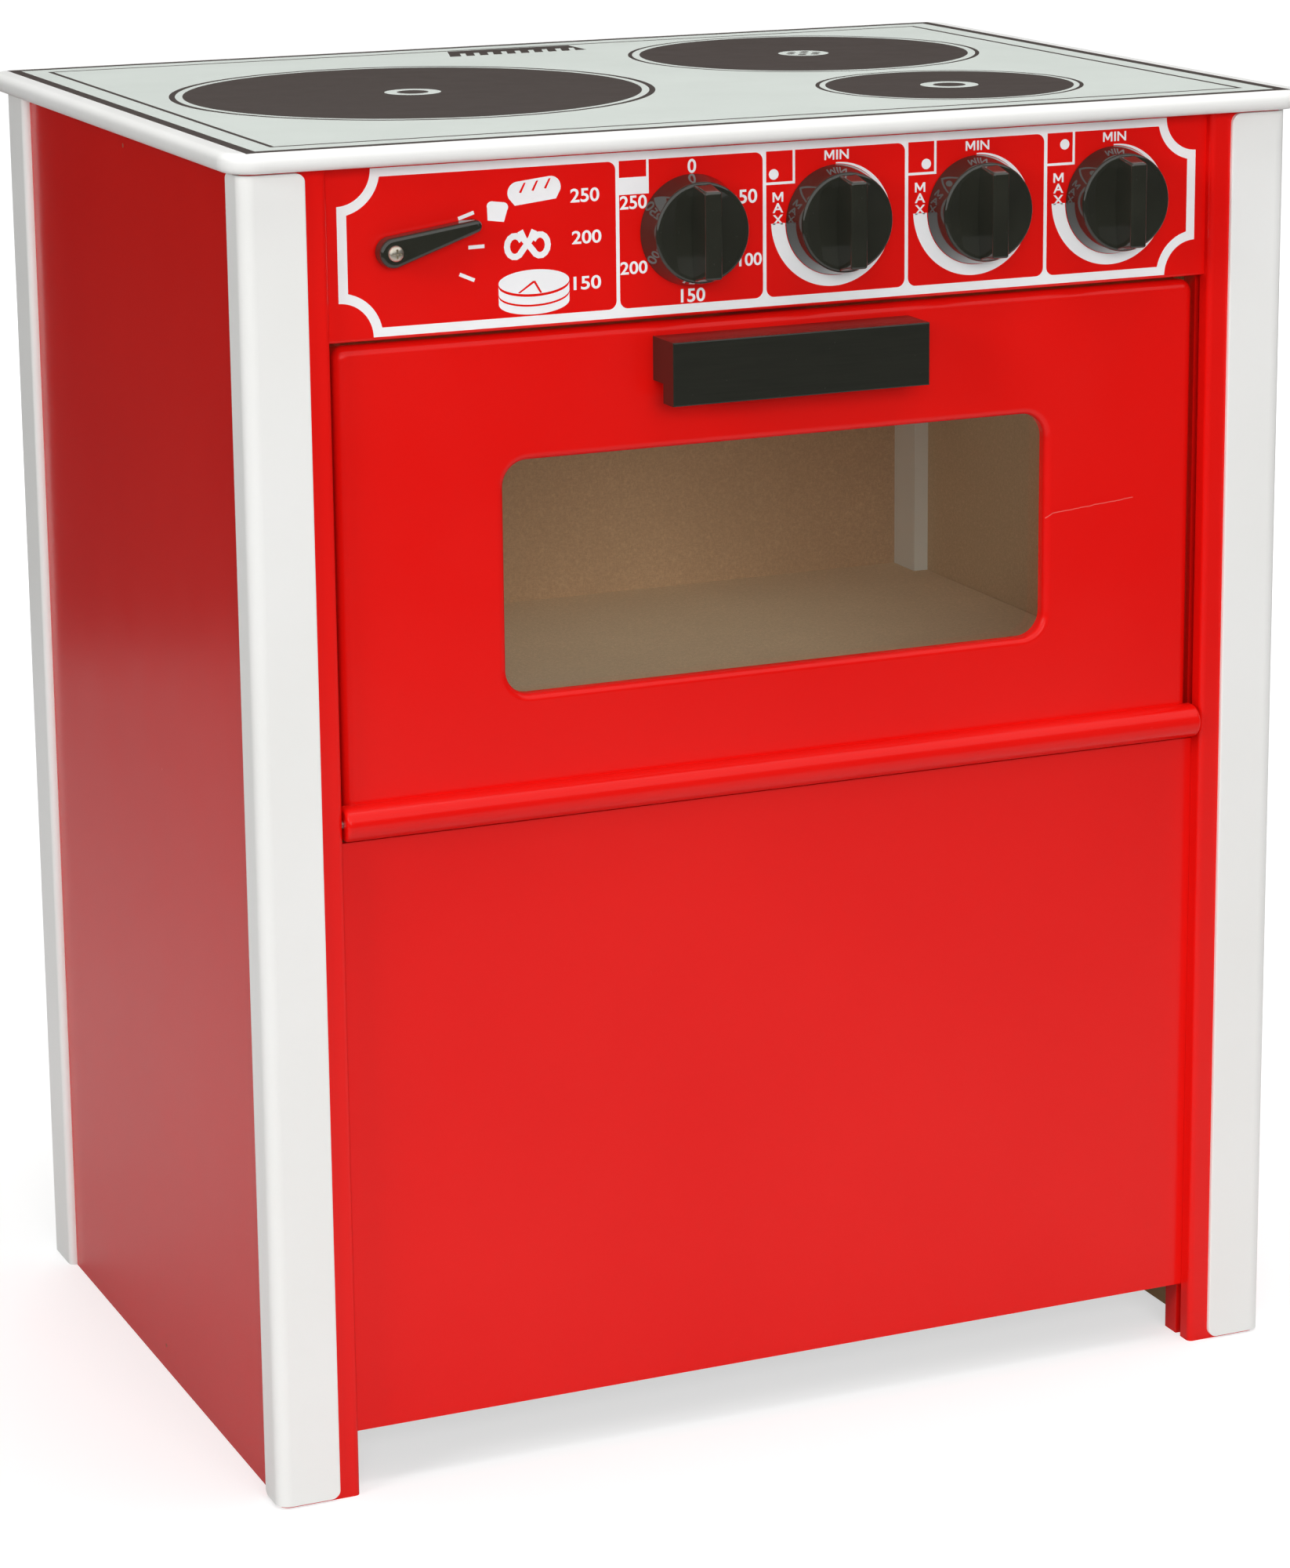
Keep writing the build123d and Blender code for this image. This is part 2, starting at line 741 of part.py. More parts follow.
nodes = {
    "hob_board": hob_board(),
    "back_panel": back_panel(),
    "control_panel": control_panel(),
    "lower_panel": lower_panel(),
    "oven_shelf": oven_shelf(),
    "top_rail": top_rail(),
    "side_nails": side_nails(),
    "back_nails": back_nails(),
    "panel_dowels": panel_dowels(),
    "catch_body": catch_body(),
    "catch_magnet": catch_magnet(),
    "strike_plate": strike_plate(),
    "oven_door": oven_door(),
    "door_pane": door_pane(),
    "door_moulding": door_moulding(),
    "door_handle": door_handle(),
    "knob_washers": knob_washers(),
    "lever_arm": lever_arm(),
    "lever_screw": lever_fixing(),
    "lever_washer": ring(lever_screw, lever_x, panel_front - washer_thickness, running_clearance),
}

nodes["board_screws"] = group(
    [screw(wood_screw, seat, upward, board_screw_length) for seat in board_screw_seats]
)
batten_screws = [
    screw(wood_screw, seat, outward, shelf_batten_size + batten_screw_bite) for seat in batten_screw_seats
]
nodes["batten_screws"] = group([piece for one in batten_screws for piece in both_sides(one)])
nodes["handle_screws"] = group(
    [screw(wood_screw, seat, forward, door_thickness + handle_screw_bite) for seat in handle_screw_seats]
)
nodes["pane_screws"] = group(
    [
        screw(small_screw, (x, pane_rear, z), forward, pane_thickness + pane_screw_bite)
        for x, z in pane_screw_places
    ]
)
catch_screw_length = catch_flange_thickness + catch_screw_bite
nodes["catch_screws"] = group(
    [screw(small_screw, seat, forward, catch_screw_length) for seat in catch_screw_seats]
)
nodes["strike_screw"] = screw(small_screw, strike_screw_seat, forward, strike_thickness + strike_screw_bite)

for name, piece in right_hand.items():
    nodes[name + "_right"], nodes[name + "_left"] = both_sides(piece)

for name, x in zip(knob_names, knob_xs):
    nodes[name] = knob(x)
    nodes[name + "_screw"] = knob_fixing(x)

os.makedirs("parts", exist_ok=True)
for name, piece in nodes.items():
    export_step(Pos(0, -middle_y, 0) * piece, f"parts/{name}.step")
print(len(nodes), "nodes; origin moved back by", middle_y, "hinge", hinge_y - middle_y, hinge_z)
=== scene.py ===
import json
from math import cos, pi, radians, sin

import bmesh
import bpy
from mathutils import Matrix, Vector

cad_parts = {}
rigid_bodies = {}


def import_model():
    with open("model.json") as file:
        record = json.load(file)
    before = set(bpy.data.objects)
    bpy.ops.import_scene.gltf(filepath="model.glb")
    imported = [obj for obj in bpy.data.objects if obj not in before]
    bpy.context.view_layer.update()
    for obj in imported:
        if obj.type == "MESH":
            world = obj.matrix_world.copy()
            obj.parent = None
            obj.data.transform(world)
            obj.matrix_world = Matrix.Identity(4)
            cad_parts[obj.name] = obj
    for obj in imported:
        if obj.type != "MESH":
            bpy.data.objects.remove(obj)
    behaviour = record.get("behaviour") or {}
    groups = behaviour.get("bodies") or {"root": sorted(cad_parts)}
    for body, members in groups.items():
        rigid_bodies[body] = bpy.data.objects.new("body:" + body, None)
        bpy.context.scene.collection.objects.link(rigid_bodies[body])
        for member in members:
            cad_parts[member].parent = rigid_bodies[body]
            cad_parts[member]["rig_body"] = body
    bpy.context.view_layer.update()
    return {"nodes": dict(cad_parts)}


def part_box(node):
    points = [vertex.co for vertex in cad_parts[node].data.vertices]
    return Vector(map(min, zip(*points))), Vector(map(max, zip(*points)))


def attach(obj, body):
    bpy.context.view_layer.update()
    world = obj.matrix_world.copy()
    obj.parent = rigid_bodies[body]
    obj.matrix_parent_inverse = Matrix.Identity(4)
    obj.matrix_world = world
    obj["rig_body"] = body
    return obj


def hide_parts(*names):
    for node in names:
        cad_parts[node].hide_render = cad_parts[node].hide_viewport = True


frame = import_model()
nodes = frame["nodes"]

MM = 0.001

# The photograph's camera, worked out from the object's straight edges
camera_azimuth = -23.30
camera_elevation = 13.18
camera_roll = -0.58
camera_place = (-657.3, -1531.7, 660.9)
camera_lens = 102.46
camera_sensor = 36.0
camera_shift = (0.0016, -0.1)

# Layout of the print on the control panel: x from the middle, z from the panel's foot, in millimetres
frame_half = 164.6
frame_low = 1.2
frame_high = 58.2
frame_notch = 12.2
band_side = 3.4
band_low = 3.1
band_high = 2.9
cell_corner = 3.0
separator = 1.3
separator_xs = (-62.8, -7.3, 47.8, 103.2)
word_height = 3.4
low_word_rise = 51.0
low_word_m = (-4.4, -0.6)
low_word_in = (0.1, 5.0)
high_word_x = -24.4
letter_width = 4.1
letter_rises = {"M": 37.5, "A": 33.7, "X": 29.6}
letter_weight = 0.018
dial_arc_inner = 19.6
dial_arc_width = 5.4
dial_arc_tip = 0.4
sign_width = 11.1
sign_height = 11.7
sign_line = 0.9
oven_sign_bar = 5.9
sign_dot = 1.85
sign_dots = ((2.9, 3.6), (7.1, 3.7), (7.0, 7.4))
dash_width = 1.25
numbers = {
    "lever": [
        ("250", -80.2, -69.5, 42.1, 46.9),
        ("200", -79.8, -68.9, 27.8, 32.4),
        ("150", -79.4, -69.2, 12.0, 16.7),
    ],
    "dial": [
        ("0", -36.4, -33.2, 49.6, 54.5),
        ("50", -17.1, -10.1, 37.8, 42.7),
        ("100", -17.1, -8.4, 15.9, 20.4),
        ("150", -39.3, -30.1, 4.8, 9.6),
        ("200", -62.0, -51.8, 16.0, 20.5),
        ("250", -61.9, -51.8, 38.5, 43.2),
    ],
}
dashes = (
    ((-121.2, 39.3), (-115.5, 41.1)),
    ((-117.7, 29.3), (-111.9, 29.4)),
    ((-121.1, 20.4), (-115.7, 18.0)),
)

# The fine scratch beside the door's window: x and z of its corners
scratch = ((105.2, 327.6), (108.6, 329.8), (141.8, 332.8))

# Layout of the print on the hob: x from the middle, y from the front of the corner strips
outer_line = (196.3, -1.6, 283.5)
outer_line_width = 4.4
inner_line = (185.0, 9.7, 272.2)
inner_line_width = 1.8
# Each plate: x, y, radius, its hole, the dot in the hole, and how far its ring's two edges lie outside it
plates = (
    (-85.8, 141.6, 84.0, 10.4, 5.8, 4.9, 2.7),
    (97.7, 69.7, 45.6, 10.7, 6.0, 3.6, 2.1),
    (98.7, 196.6, 64.5, 9.9, 0.0, 4.5, 2.9),
)
small_dot = 1.7
small_dot_ring = 5.6
vent = (29.0, 251.0, 270.0)
vent_teeth = 10
vent_gap = 2.3
vent_notch = 9.5
vent_slant = 0.32
ink = 0.03

# How strongly each surface mirrors, on the shader's own scale
paint_gloss = 0.36
print_gloss = 0.25
plastic_gloss = 0.85


def corners(name):
    """A node's lowest and highest corners, in millimetres."""
    low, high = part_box(name)
    return low / MM, high / MM


# Places that the frame gives
panel_low = corners("control_panel")[0]
board_high = corners("hob_board")[1]
knob_names = ["oven_knob", "hob_knob_left", "hob_knob_middle", "hob_knob_right"]
knob_xs = [sum(c.x for c in corners(name)) / 2 for name in knob_names]
knob_rise = sum(c.z for c in corners("oven_knob")) / 2 - panel_low.z
trim_front = corners("corner_trim_left")[0].y
side_inner = corners("side_panel_right")[0].x
door_front = corners("oven_door")[0].y


def srgb(red, green, blue):
    """A colour as the eye sees it, 0 to 255, in the linear values that a shader takes."""
    values = []
    for share in (red / 255, green / 255, blue / 255):
        values.append(share / 12.92 if share <= 0.04045 else ((share + 0.055) / 1.055) ** 2.4)
    return (*values, 1.0)


class Shader:
    """A material's node tree, built with short calls. Its lengths are in metres, as the object's are."""

    def __init__(self, name):
        self.material = bpy.data.materials.new(name)
        self.material.use_nodes = True
        self.tree = self.material.node_tree
        self.surface = self.tree.nodes["Principled BSDF"]
        self.place = self.add("ShaderNodeTexCoord").outputs["Object"]

    def feed(self, socket, value):
        if isinstance(value, bpy.types.NodeSocket):
            self.tree.links.new(value, socket)
        else:
            socket.default_value = value

    def add(self, kind, inputs=None, **settings):
        node = self.tree.nodes.new(kind)
        for name, value in settings.items():
            setattr(node, name, value)
        for name, value in (inputs or {}).items():
            self.feed(node.inputs[name], value)
        return node

    def maths(self, operation, first, second=0.0, clamp=False):
        node = self.add("ShaderNodeMath", {0: first, 1: second}, operation=operation, use_clamp=clamp)
        return node.outputs[0]

    def axes(self, vector=None):
        parts = self.add("ShaderNodeSeparateXYZ", {"Vector": vector or self.place})
        return parts.outputs["X"], parts.outputs["Y"], parts.outputs["Z"]

    def stretched(self, scale):
        """The object's own place, stretched so that a grain runs along one axis."""
        node = self.add("ShaderNodeVectorMath", {0: self.place, 1: scale}, operation="MULTIPLY")
        return node.outputs[0]

    def noise(self, scale, detail=4.0, roughness=0.5, distortion=0.0, vector=None):
        inputs = {
            "Vector": vector or self.place,
            "Scale": scale,
            "Detail": detail,
            "Roughness": roughness,
            "Distortion": distortion,
        }
        return self.add("ShaderNodeTexNoise", inputs).outputs["Fac"]

    def specks(self, scale, size):
        """Small scattered dots: 1 inside, 0 outside."""
        node = self.add("ShaderNodeTexVoronoi", {"Vector": self.place, "Scale": scale})
        return self.span(node.outputs["Distance"], size, size * 0.5)

    def scratches(self, scale, size, way):
        """Short fine scratches that lie one way: 1 inside, 0 outside."""
        node = self.add("ShaderNodeTexVoronoi", {"Vector": self.stretched(way), "Scale": scale})
        return self.span(node.outputs["Distance"], size, size * 0.4)

    def both(self, first, second):
        """The mask where either of two is."""
        return self.maths("MAXIMUM", first, second)

    def span(self, value, low, high, start=0.0, end=1.0):
        inputs = {"Value": value, "From Min": low, "From Max": high, "To Min": start, "To Max": end}
        return self.add("ShaderNodeMapRange", inputs, clamp=True).outputs["Result"]

    def mix(self, share, first, second):
        node = self.add("ShaderNodeMix", {0: share, 6: first, 7: second}, data_type="RGBA")
        return node.outputs[2]

    def blend(self, share, first, second):
        """Two numbers mixed."""
        return self.add("ShaderNodeMix", {0: share, 2: first, 3: second}).outputs[0]

    def bump(self, height, strength, distance, under=None):
        inputs = {"Height": height, "Strength": strength, "Distance": distance * MM}
        if under is not None:
            inputs["Normal"] = under
        return self.add("ShaderNodeBump", inputs).outputs["Normal"]

    def set(self, **values):
        for name, value in values.items():
            self.feed(self.surface.inputs[name.replace("_", " ")], value)


def paint(shader, colour, worn, gloss, peel):
    """Sprayed paint: slight orange peel, uneven colour and gloss, fine scratches and dust."""
    cloud = shader.span(shader.noise(9.0, detail=3.0), 0.3, 0.7)
    tone = shader.mix(cloud, colour, worn)
    fine = shader.noise(1400.0, detail=2.0)
    tone = shader.mix(shader.span(fine, 0.4, 0.8, 0.0, 0.15), tone, worn)
    marks = shader.both(
        shader.scratches(150.0, 0.026, (0.12, 1.0, 1.0)), shader.scratches(140.0, 0.024, (1.0, 0.2, 0.15))
    )
    dust = shader.specks(170.0, 0.02)
    pale = tuple(min(1.0, c + 0.3) for c in worn[:3]) + (1.0,)
    tone = shader.mix(shader.maths("MULTIPLY", marks, 0.02), tone, pale)
    tone = shader.mix(shader.maths("MULTIPLY", dust, 0.07), tone, pale)
    rough = shader.span(shader.noise(35.0, detail=5.0), 0.3, 0.7, gloss - 0.02, gloss + 0.03)
    rough = shader.maths("ADD", rough, shader.maths("MULTIPLY", marks, 0.06), clamp=True)
    height = shader.maths("ADD", shader.noise(380.0, detail=2.0), shader.maths("MULTIPLY", fine, 0.3))
    return tone, rough, shader.bump(height, peel, 0.05)


def painted(name, colour, worn, gloss, peel):
    """A piece painted all over."""
    shader = Shader(name)
    tone, rough, normal = paint(shader, colour, worn, gloss, peel)
    shader.set(Base_Color=tone, Roughness=rough, Normal=normal, Specular_IOR_Level=paint_gloss)
    return shader.material


def hardboard(shader, colour):
    """Pressed brown fibre: fine short fibres lying every way, faint blotches and a soft tooth."""
    felt = shader.noise(1100.0, detail=5.0, roughness=0.7)
    ways = ((1, 4, 1), (4, 1, 1), (1, 1, 4))
    fibres = [shader.noise(700.0, detail=3.0, vector=shader.stretched(way)) for way in ways]
    strands = shader.both(shader.both(fibres[0], fibres[1]), fibres[2])
    dark = tuple(c * 0.74 for c in colour[:3]) + (1.0,)
    light = tuple(min(1.0, c * 1.16) for c in colour[:3]) + (1.0,)
    tone = shader.mix(shader.span(strands, 0.5, 0.72), dark, light)
    tone = shader.mix(shader.span(felt, 0.35, 0.7, 0.25, 0.75), tone, colour)
    blotch = shader.span(shader.noise(24.0, detail=4.0), 0.3, 0.75, 0.0, 0.3)
    tone = shader.mix(blotch, tone, dark)
    return tone, shader.bump(felt, 0.2, 0.08)


def half_painted(name, colour, worn, gloss, peel, raw, is_painted):
    """A board painted on one side and raw behind, told apart by a mask."""
    shader = Shader(name)
    tone, rough, normal = paint(shader, colour, worn, gloss, peel)
    raw_tone, raw_normal = hardboard(shader, raw)
    mask = is_painted(shader)
    both = shader.add("ShaderNodeMix", {0: mask, 4: raw_normal, 5: normal}, data_type="VECTOR")
    shader.set(
        Base_Color=shader.mix(mask, raw_tone, tone),
        Roughness=shader.blend(mask, 0.82, rough),
        Normal=both.outputs[1],
        Specular_IOR_Level=paint_gloss,
    )
    return shader.material


def wood(name, pale, dark, gloss, along, strength=0.35):
    """Wood with its grain along one axis, 0 for x, 1 for y and 2 for z."""
    shader = Shader(name)
    stretch = [60.0, 60.0, 60.0]
    stretch[along] = 3.0
    rings = shader.noise(1.0, detail=3.0, distortion=1.2, vector=shader.stretched(stretch))
    pores = shader.noise(1.0, detail=6.0, roughness=0.7, vector=shader.stretched([s * 9 for s in stretch]))
    tone = shader.mix(shader.span(rings, 0.35, 0.65), pale, dark)
    tone = shader.mix(shader.span(pores, 0.5, 0.75, 0.0, 0.5), tone, dark)
    shader.set(
        Base_Color=tone,
        Roughness=shader.span(pores, 0.3, 0.7, gloss - 0.05, gloss + 0.1),
        Normal=shader.bump(pores, strength, 0.08),
    )
    return shader.material


def black_wood():
    """The handle's satin black paint over a fine grain that runs along it, with a little dust."""
    shader = Shader("black_paint")
    grain = shader.noise(1.0, detail=6.0, roughness=0.65, vector=shader.stretched((40.0, 900.0, 900.0)))
    tone = shader.mix(shader.span(grain, 0.35, 0.75), srgb(36, 37, 32), srgb(40, 41, 35))
    dust = shader.specks(260.0, 0.05)
    tone = shader.mix(shader.maths("MULTIPLY", dust, 0.3), tone, srgb(110, 108, 100))
    shader.set(
        Base_Color=tone,
        Roughness=shader.span(grain, 0.3, 0.75, 0.17, 0.23),
        Normal=shader.bump(grain, 0.12, 0.05),
    )
    return shader.material


def moulded_black():
    """Glossy black moulded plastic with fine handling scratches and dust."""
    shader = Shader("black_plastic")
    haze = shader.noise(60.0, detail=5.0)
    marks = shader.both(
        shader.scratches(300.0, 0.03, (0.2, 1.0, 1.0)), shader.scratches(280.0, 0.03, (1.0, 1.0, 0.2))
    )
    dust = shader.specks(330.0, 0.04)
    tone = shader.mix(shader.span(haze, 0.3, 0.7), srgb(38, 39, 33), srgb(44, 45, 38))
    tone = shader.mix(shader.maths("MULTIPLY", marks, 0.2), tone, srgb(110, 112, 104))
    tone = shader.mix(shader.maths("MULTIPLY", dust, 0.3), tone, srgb(140, 140, 130))
    rough = shader.span(haze, 0.3, 0.7, 0.035, 0.08)
    rough = shader.maths("ADD", rough, shader.maths("MULTIPLY", marks, 0.2), clamp=True)
    shader.set(
        Base_Color=tone,
        Roughness=rough,
        Specular_IOR_Level=plastic_gloss,
        Normal=shader.bump(shader.noise(260.0, detail=1.0), 0.05, 0.03),
    )
    return shader.material


def metal(name, colour, gloss, brushed=(1.0, 1.0, 1.0)):
    """Plated or drawn steel with fine drawing lines and a few dull spots."""
    shader = Shader(name)
    lines = shader.noise(900.0, detail=3.0, vector=shader.stretched(brushed))
    spots = shader.span(shader.noise(420.0, detail=4.0), 0.55, 0.75)
    dull = tuple(c * 0.6 for c in colour[:3]) + (1.0,)
    rough = shader.span(lines, 0.3, 0.7, gloss - 0.05, gloss + 0.1)
    shader.set(
        Base_Color=shader.mix(shader.maths("MULTIPLY", spots, 0.6), colour, dull),
        Metallic=1.0,
        Roughness=shader.maths("ADD", rough, shader.maths("MULTIPLY", spots, 0.2), clamp=True),
        Normal=shader.bump(lines, 0.15, 0.02),
    )
    return shader.material


def plain_plastic(name, colour, gloss):
    """Moulded plastic or ferrite with a faint mottle."""
    shader = Shader(name)
    haze = shader.noise(220.0, detail=5.0)
    light = tuple(min(1.0, c * 1.12 + 0.01) for c in colour[:3]) + (1.0,)
    shader.set(
        Base_Color=shader.mix(shader.span(haze, 0.3, 0.7), colour, light),
        Roughness=shader.span(haze, 0.3, 0.7, gloss, gloss + 0.12),
        Normal=shader.bump(haze, 0.15, 0.04),
    )
    return shader.material


def clear_sheet():
    """Clear acrylic: what is behind shows through it, with a faint gloss, wipe marks and dust on top."""
    shader = Shader("clear_plastic")
    haze = shader.noise(18.0, detail=5.0, distortion=0.8)
    marks = shader.scratches(160.0, 0.03, (0.2, 1.0, 0.6))
    dust = shader.specks(220.0, 0.04)
    shader.set(
        Base_Color=srgb(250, 250, 248),
        Metallic=1.0,
        Roughness=shader.span(haze, 0.35, 0.75, 0.02, 0.07),
    )
    open_way = shader.add("ShaderNodeBsdfTransparent", {"Color": srgb(248, 250, 247)})
    edge = shader.add("ShaderNodeFresnel", {"IOR": 1.49}).outputs[0]
    film = shader.maths("MULTIPLY", shader.both(marks, dust), 0.1)
    share = shader.maths("ADD", edge, film, clamp=True)
    parts = {0: share, 1: open_way.outputs[0], 2: shader.surface.outputs[0]}
    sheet = shader.add("ShaderNodeMixShader", parts)
    output = shader.tree.nodes["Material Output"]
    shader.tree.links.new(sheet.outputs[0], output.inputs["Surface"])
    return shader.material


def printed(name, colour, worn, gloss):
    """Screen-printed ink: a fine screen texture and slightly uneven cover."""
    shader = Shader(name)
    cover = shader.noise(45.0, detail=4.0)
    screen = shader.noise(1300.0, detail=1.0)
    tone = shader.mix(shader.span(cover, 0.3, 0.7), colour, worn)
    tone = shader.mix(shader.span(screen, 0.45, 0.75, 0.0, 0.18), tone, worn)
    shader.set(
        Base_Color=tone,
        Roughness=shader.span(cover, 0.3, 0.7, gloss, gloss + 0.08),
        Normal=shader.bump(screen, 0.1, 0.02),
        Specular_IOR_Level=print_gloss,
    )
    return shader.material


def board_finish():
    """The hob board: satin white paint, with a pale printed ground on top inside the outer line."""
    shader = Shader("white_board")
    tone, rough, normal = paint(shader, white_clean, white_worn, 0.32, 0.2)
    cloud = shader.span(shader.noise(30.0, detail=5.0), 0.3, 0.7)
    ground = shader.mix(cloud, print_ground, print_ground_worn)
    x, y, z = shader.axes()
    half, front, rear = outer_line
    middle = (trim_front + (front + rear) / 2) * MM
    inside_x = shader.maths("LESS_THAN", shader.maths("ABSOLUTE", x), half * MM)
    off_y = shader.maths("ABSOLUTE", shader.maths("SUBTRACT", y, middle))
    inside_y = shader.maths("LESS_THAN", off_y, (rear - front) / 2 * MM)
    on_top = shader.maths("GREATER_THAN", z, (board_high.z - 0.05) * MM)
    mask = shader.maths("MULTIPLY", shader.maths("MULTIPLY", inside_x, inside_y), on_top)
    shader.set(
        Base_Color=shader.mix(mask, tone, ground),
        Roughness=shader.blend(mask, rough, 0.27),
        Normal=normal,
        Specular_IOR_Level=print_gloss,
    )
    return shader.material


red_dark = srgb(228, 15, 10)
red_light = srgb(232, 21, 15)
# The side panels' red is darker than the front's red. This is painted shade: the same paint, shaded for sides
# turned away from the key lamp.
side_shaded_dark = srgb(204, 16, 8)
side_shaded_light = srgb(209, 22, 13)
white_clean = srgb(242, 242, 240)
white_worn = srgb(238, 238, 235)
print_ground = srgb(228, 235, 229)
print_ground_worn = srgb(223, 230, 224)
board_raw = srgb(150, 118, 82)
# The oven's inner faces are raw board painted far lighter than board_raw. This is painted light for the dim
# inside, with the shelf's top lightest as if lit from above.
inside_wall_lit = srgb(222, 192, 158)
inside_back_lit = srgb(213, 175, 141)
inside_floor_lit = srgb(236, 207, 174)


def outside_of_side(shader):
    """The side panels' painted faces: all but what lies inside them."""
    x = shader.axes()[0]
    return shader.maths("GREATER_THAN", shader.maths("ABSOLUTE", x), (side_inner + 1.0) * MM)


def raw_board(name, colour, seen=None, is_lit=None):
    """Raw hardboard, with a lighter copy of its colour where a mask says: painted light."""
    shader = Shader(name)
    tone, normal = hardboard(shader, colour)
    if seen:
        tone = shader.mix(is_lit(shader), tone, hardboard(shader, seen)[0])
    shader.set(Base_Color=tone, Roughness=0.85, Normal=normal)
    return shader.material


def front_of(node, depth):
    """A mask for the painted front of a panel, down to a depth behind its front face."""
    front = corners(node)[0].y

    def mask(shader):
        return shader.maths("LESS_THAN", shader.axes()[1], (front + depth) * MM)

    return mask


def on_shelf(shader):
    """The top face of the oven's floor."""
    return shader.maths("GREATER_THAN", shader.axes()[2], (corners("oven_shelf")[1].z - 0.3) * MM)


def door_scratch(shader):
    """A fine scratch that runs out from the door window's edge: 1 on its line, 0 off it."""
    x, y, z = shader.axes()
    line = 0.0
    for (x0, z0), (x1, z1) in zip(scratch, scratch[1:]):
        along = ((x1 - x0) * MM, (z1 - z0) * MM)
        length = (along[0] ** 2 + along[1] ** 2) ** 0.5
        ahead = (along[0] / length, along[1] / length)
        dx = shader.maths("SUBTRACT", x, x0 * MM)
        dz = shader.maths("SUBTRACT", z, z0 * MM)
        run = shader.maths(
            "ADD", shader.maths("MULTIPLY", dx, ahead[0]), shader.maths("MULTIPLY", dz, ahead[1])
        )
        off = shader.maths(
            "SUBTRACT", shader.maths("MULTIPLY", dz, ahead[0]), shader.maths("MULTIPLY", dx, ahead[1])
        )
        wander = shader.span(shader.noise(160.0, detail=2.0), 0.0, 1.0, -0.5 * MM, 0.5 * MM)
        off = shader.maths("ABSOLUTE", shader.maths("ADD", off, wander))
        inside = shader.maths(
            "MULTIPLY", shader.maths("GREATER_THAN", run, 0.0), shader.maths("LESS_THAN", run, length)
        )
        stroke = shader.maths("MULTIPLY", shader.span(off, 0.22 * MM, 0.08 * MM), inside)
        line = shader.both(line, stroke)
    front = shader.maths("LESS_THAN", y, (door_front + 1.0) * MM)
    return shader.maths("MULTIPLY", line, front)


def red_door():
    """The door's red paint, with its scratch."""
    shader = Shader("red_door")
    tone, rough, normal = paint(shader, *red_finish)
    line = door_scratch(shader)
    shader.set(
        Base_Color=shader.mix(shader.maths("MULTIPLY", line, 0.42), tone, srgb(236, 150, 140)),
        Roughness=shader.maths("ADD", rough, shader.maths("MULTIPLY", line, 0.3), clamp=True),
        Normal=normal,
        Specular_IOR_Level=paint_gloss,
    )
    return shader.material


red_finish = (red_dark, red_light, 0.2, 0.18)
side_shaded_finish = (side_shaded_dark, side_shaded_light, 0.2, 0.18)
materials = {
    "white_board": board_finish(),
    "red_paint": painted("red_paint", *red_finish),
    "red_door": red_door(),
    # The side panels: their darker outer red is painted shade, and their inner faces take the lightened
    # inside wall tone, which is painted light.
    "red_side_shade_and_light": half_painted("red_side_shade_and_light", *side_shaded_finish, inside_wall_lit, outside_of_side),
    "red_low": half_painted("red_low", *red_finish, board_raw, front_of("lower_panel", 2.0)),
    # The control panel's raw back takes the lightened inside wall tone, which is painted light.
    "red_control_lit_back": half_painted("red_control_lit_back", *red_finish, inside_wall_lit, front_of("control_panel", 11.0)),
    "white_paint": painted("white_paint", white_clean, white_worn, 0.33, 0.3),
    "raw_hardboard": raw_board("raw_hardboard", board_raw),
    # The back panel's front and the shelf's top take lighter copies of raw board, which is painted light
    # inside the oven.
    "back_board_lit": raw_board("back_board_lit", board_raw, inside_back_lit, front_of("back_panel", 1.0)),
    "shelf_board_lit": raw_board("shelf_board_lit", board_raw, inside_floor_lit, on_shelf),
    "pin_filler": plain_plastic("pin_filler", srgb(150, 74, 52), 0.7),
    "raw_wood": wood("raw_wood", srgb(222, 190, 146), srgb(196, 156, 108), 0.6, 1),
    "black_paint": black_wood(),
    "black_plastic": moulded_black(),
    "clear_plastic": clear_sheet(),
    "bright_steel": metal("bright_steel", srgb(226, 219, 204), 0.34),
    "nail_steel": metal("nail_steel", srgb(190, 188, 184), 0.35),
    "steel_pin": metal("steel_pin", srgb(190, 188, 184), 0.28, (0.1, 1.0, 1.0)),
    "catch_plastic": plain_plastic("catch_plastic", srgb(226, 223, 212), 0.42),
    "magnet": plain_plastic("magnet", srgb(52, 52, 54), 0.5),
    "white_ink": printed("white_ink", srgb(250, 250, 251), srgb(245, 245, 246), 0.3),
    "dark_ink": printed("dark_ink", srgb(70, 63, 60), srgb(64, 57, 54), 0.34),
}

# Pieces whose finish isn't the one that their CAD material names
own_finish = {
    "side_panel_left": "red_side_shade_and_light",
    "side_panel_right": "red_side_shade_and_light",
    "oven_door": "red_door",
    "back_panel": "back_board_lit",
    "oven_shelf": "shelf_board_lit",
    "side_nails": "pin_filler",
    "lower_panel": "red_low",
    "control_panel": "red_control_lit_back",
}

for name, node in nodes.items():
    slots = node.material_slots
    finish = own_finish.get(name) or slots[0].material.name.split(".")[0]
    for slot in slots:
        slot.material = materials[finish]


# Flat shapes: lists of points in a plane
def circle(x, y, radius, steps=128):
    turns = [2 * pi * i / steps for i in range(steps)]
    return [(x + radius * cos(a), y + radius * sin(a)) for a in turns]


def arc(x, y, radius, start, end, steps=16):
    turns = [radians(start + (end - start) * i / steps) for i in range(steps + 1)]
    return [(x + radius * cos(a), y + radius * sin(a)) for a in turns]


def rectangle(x0, x1, y0, y1):
    return [(x0, y0), (x1, y0), (x1, y1), (x0, y1)]


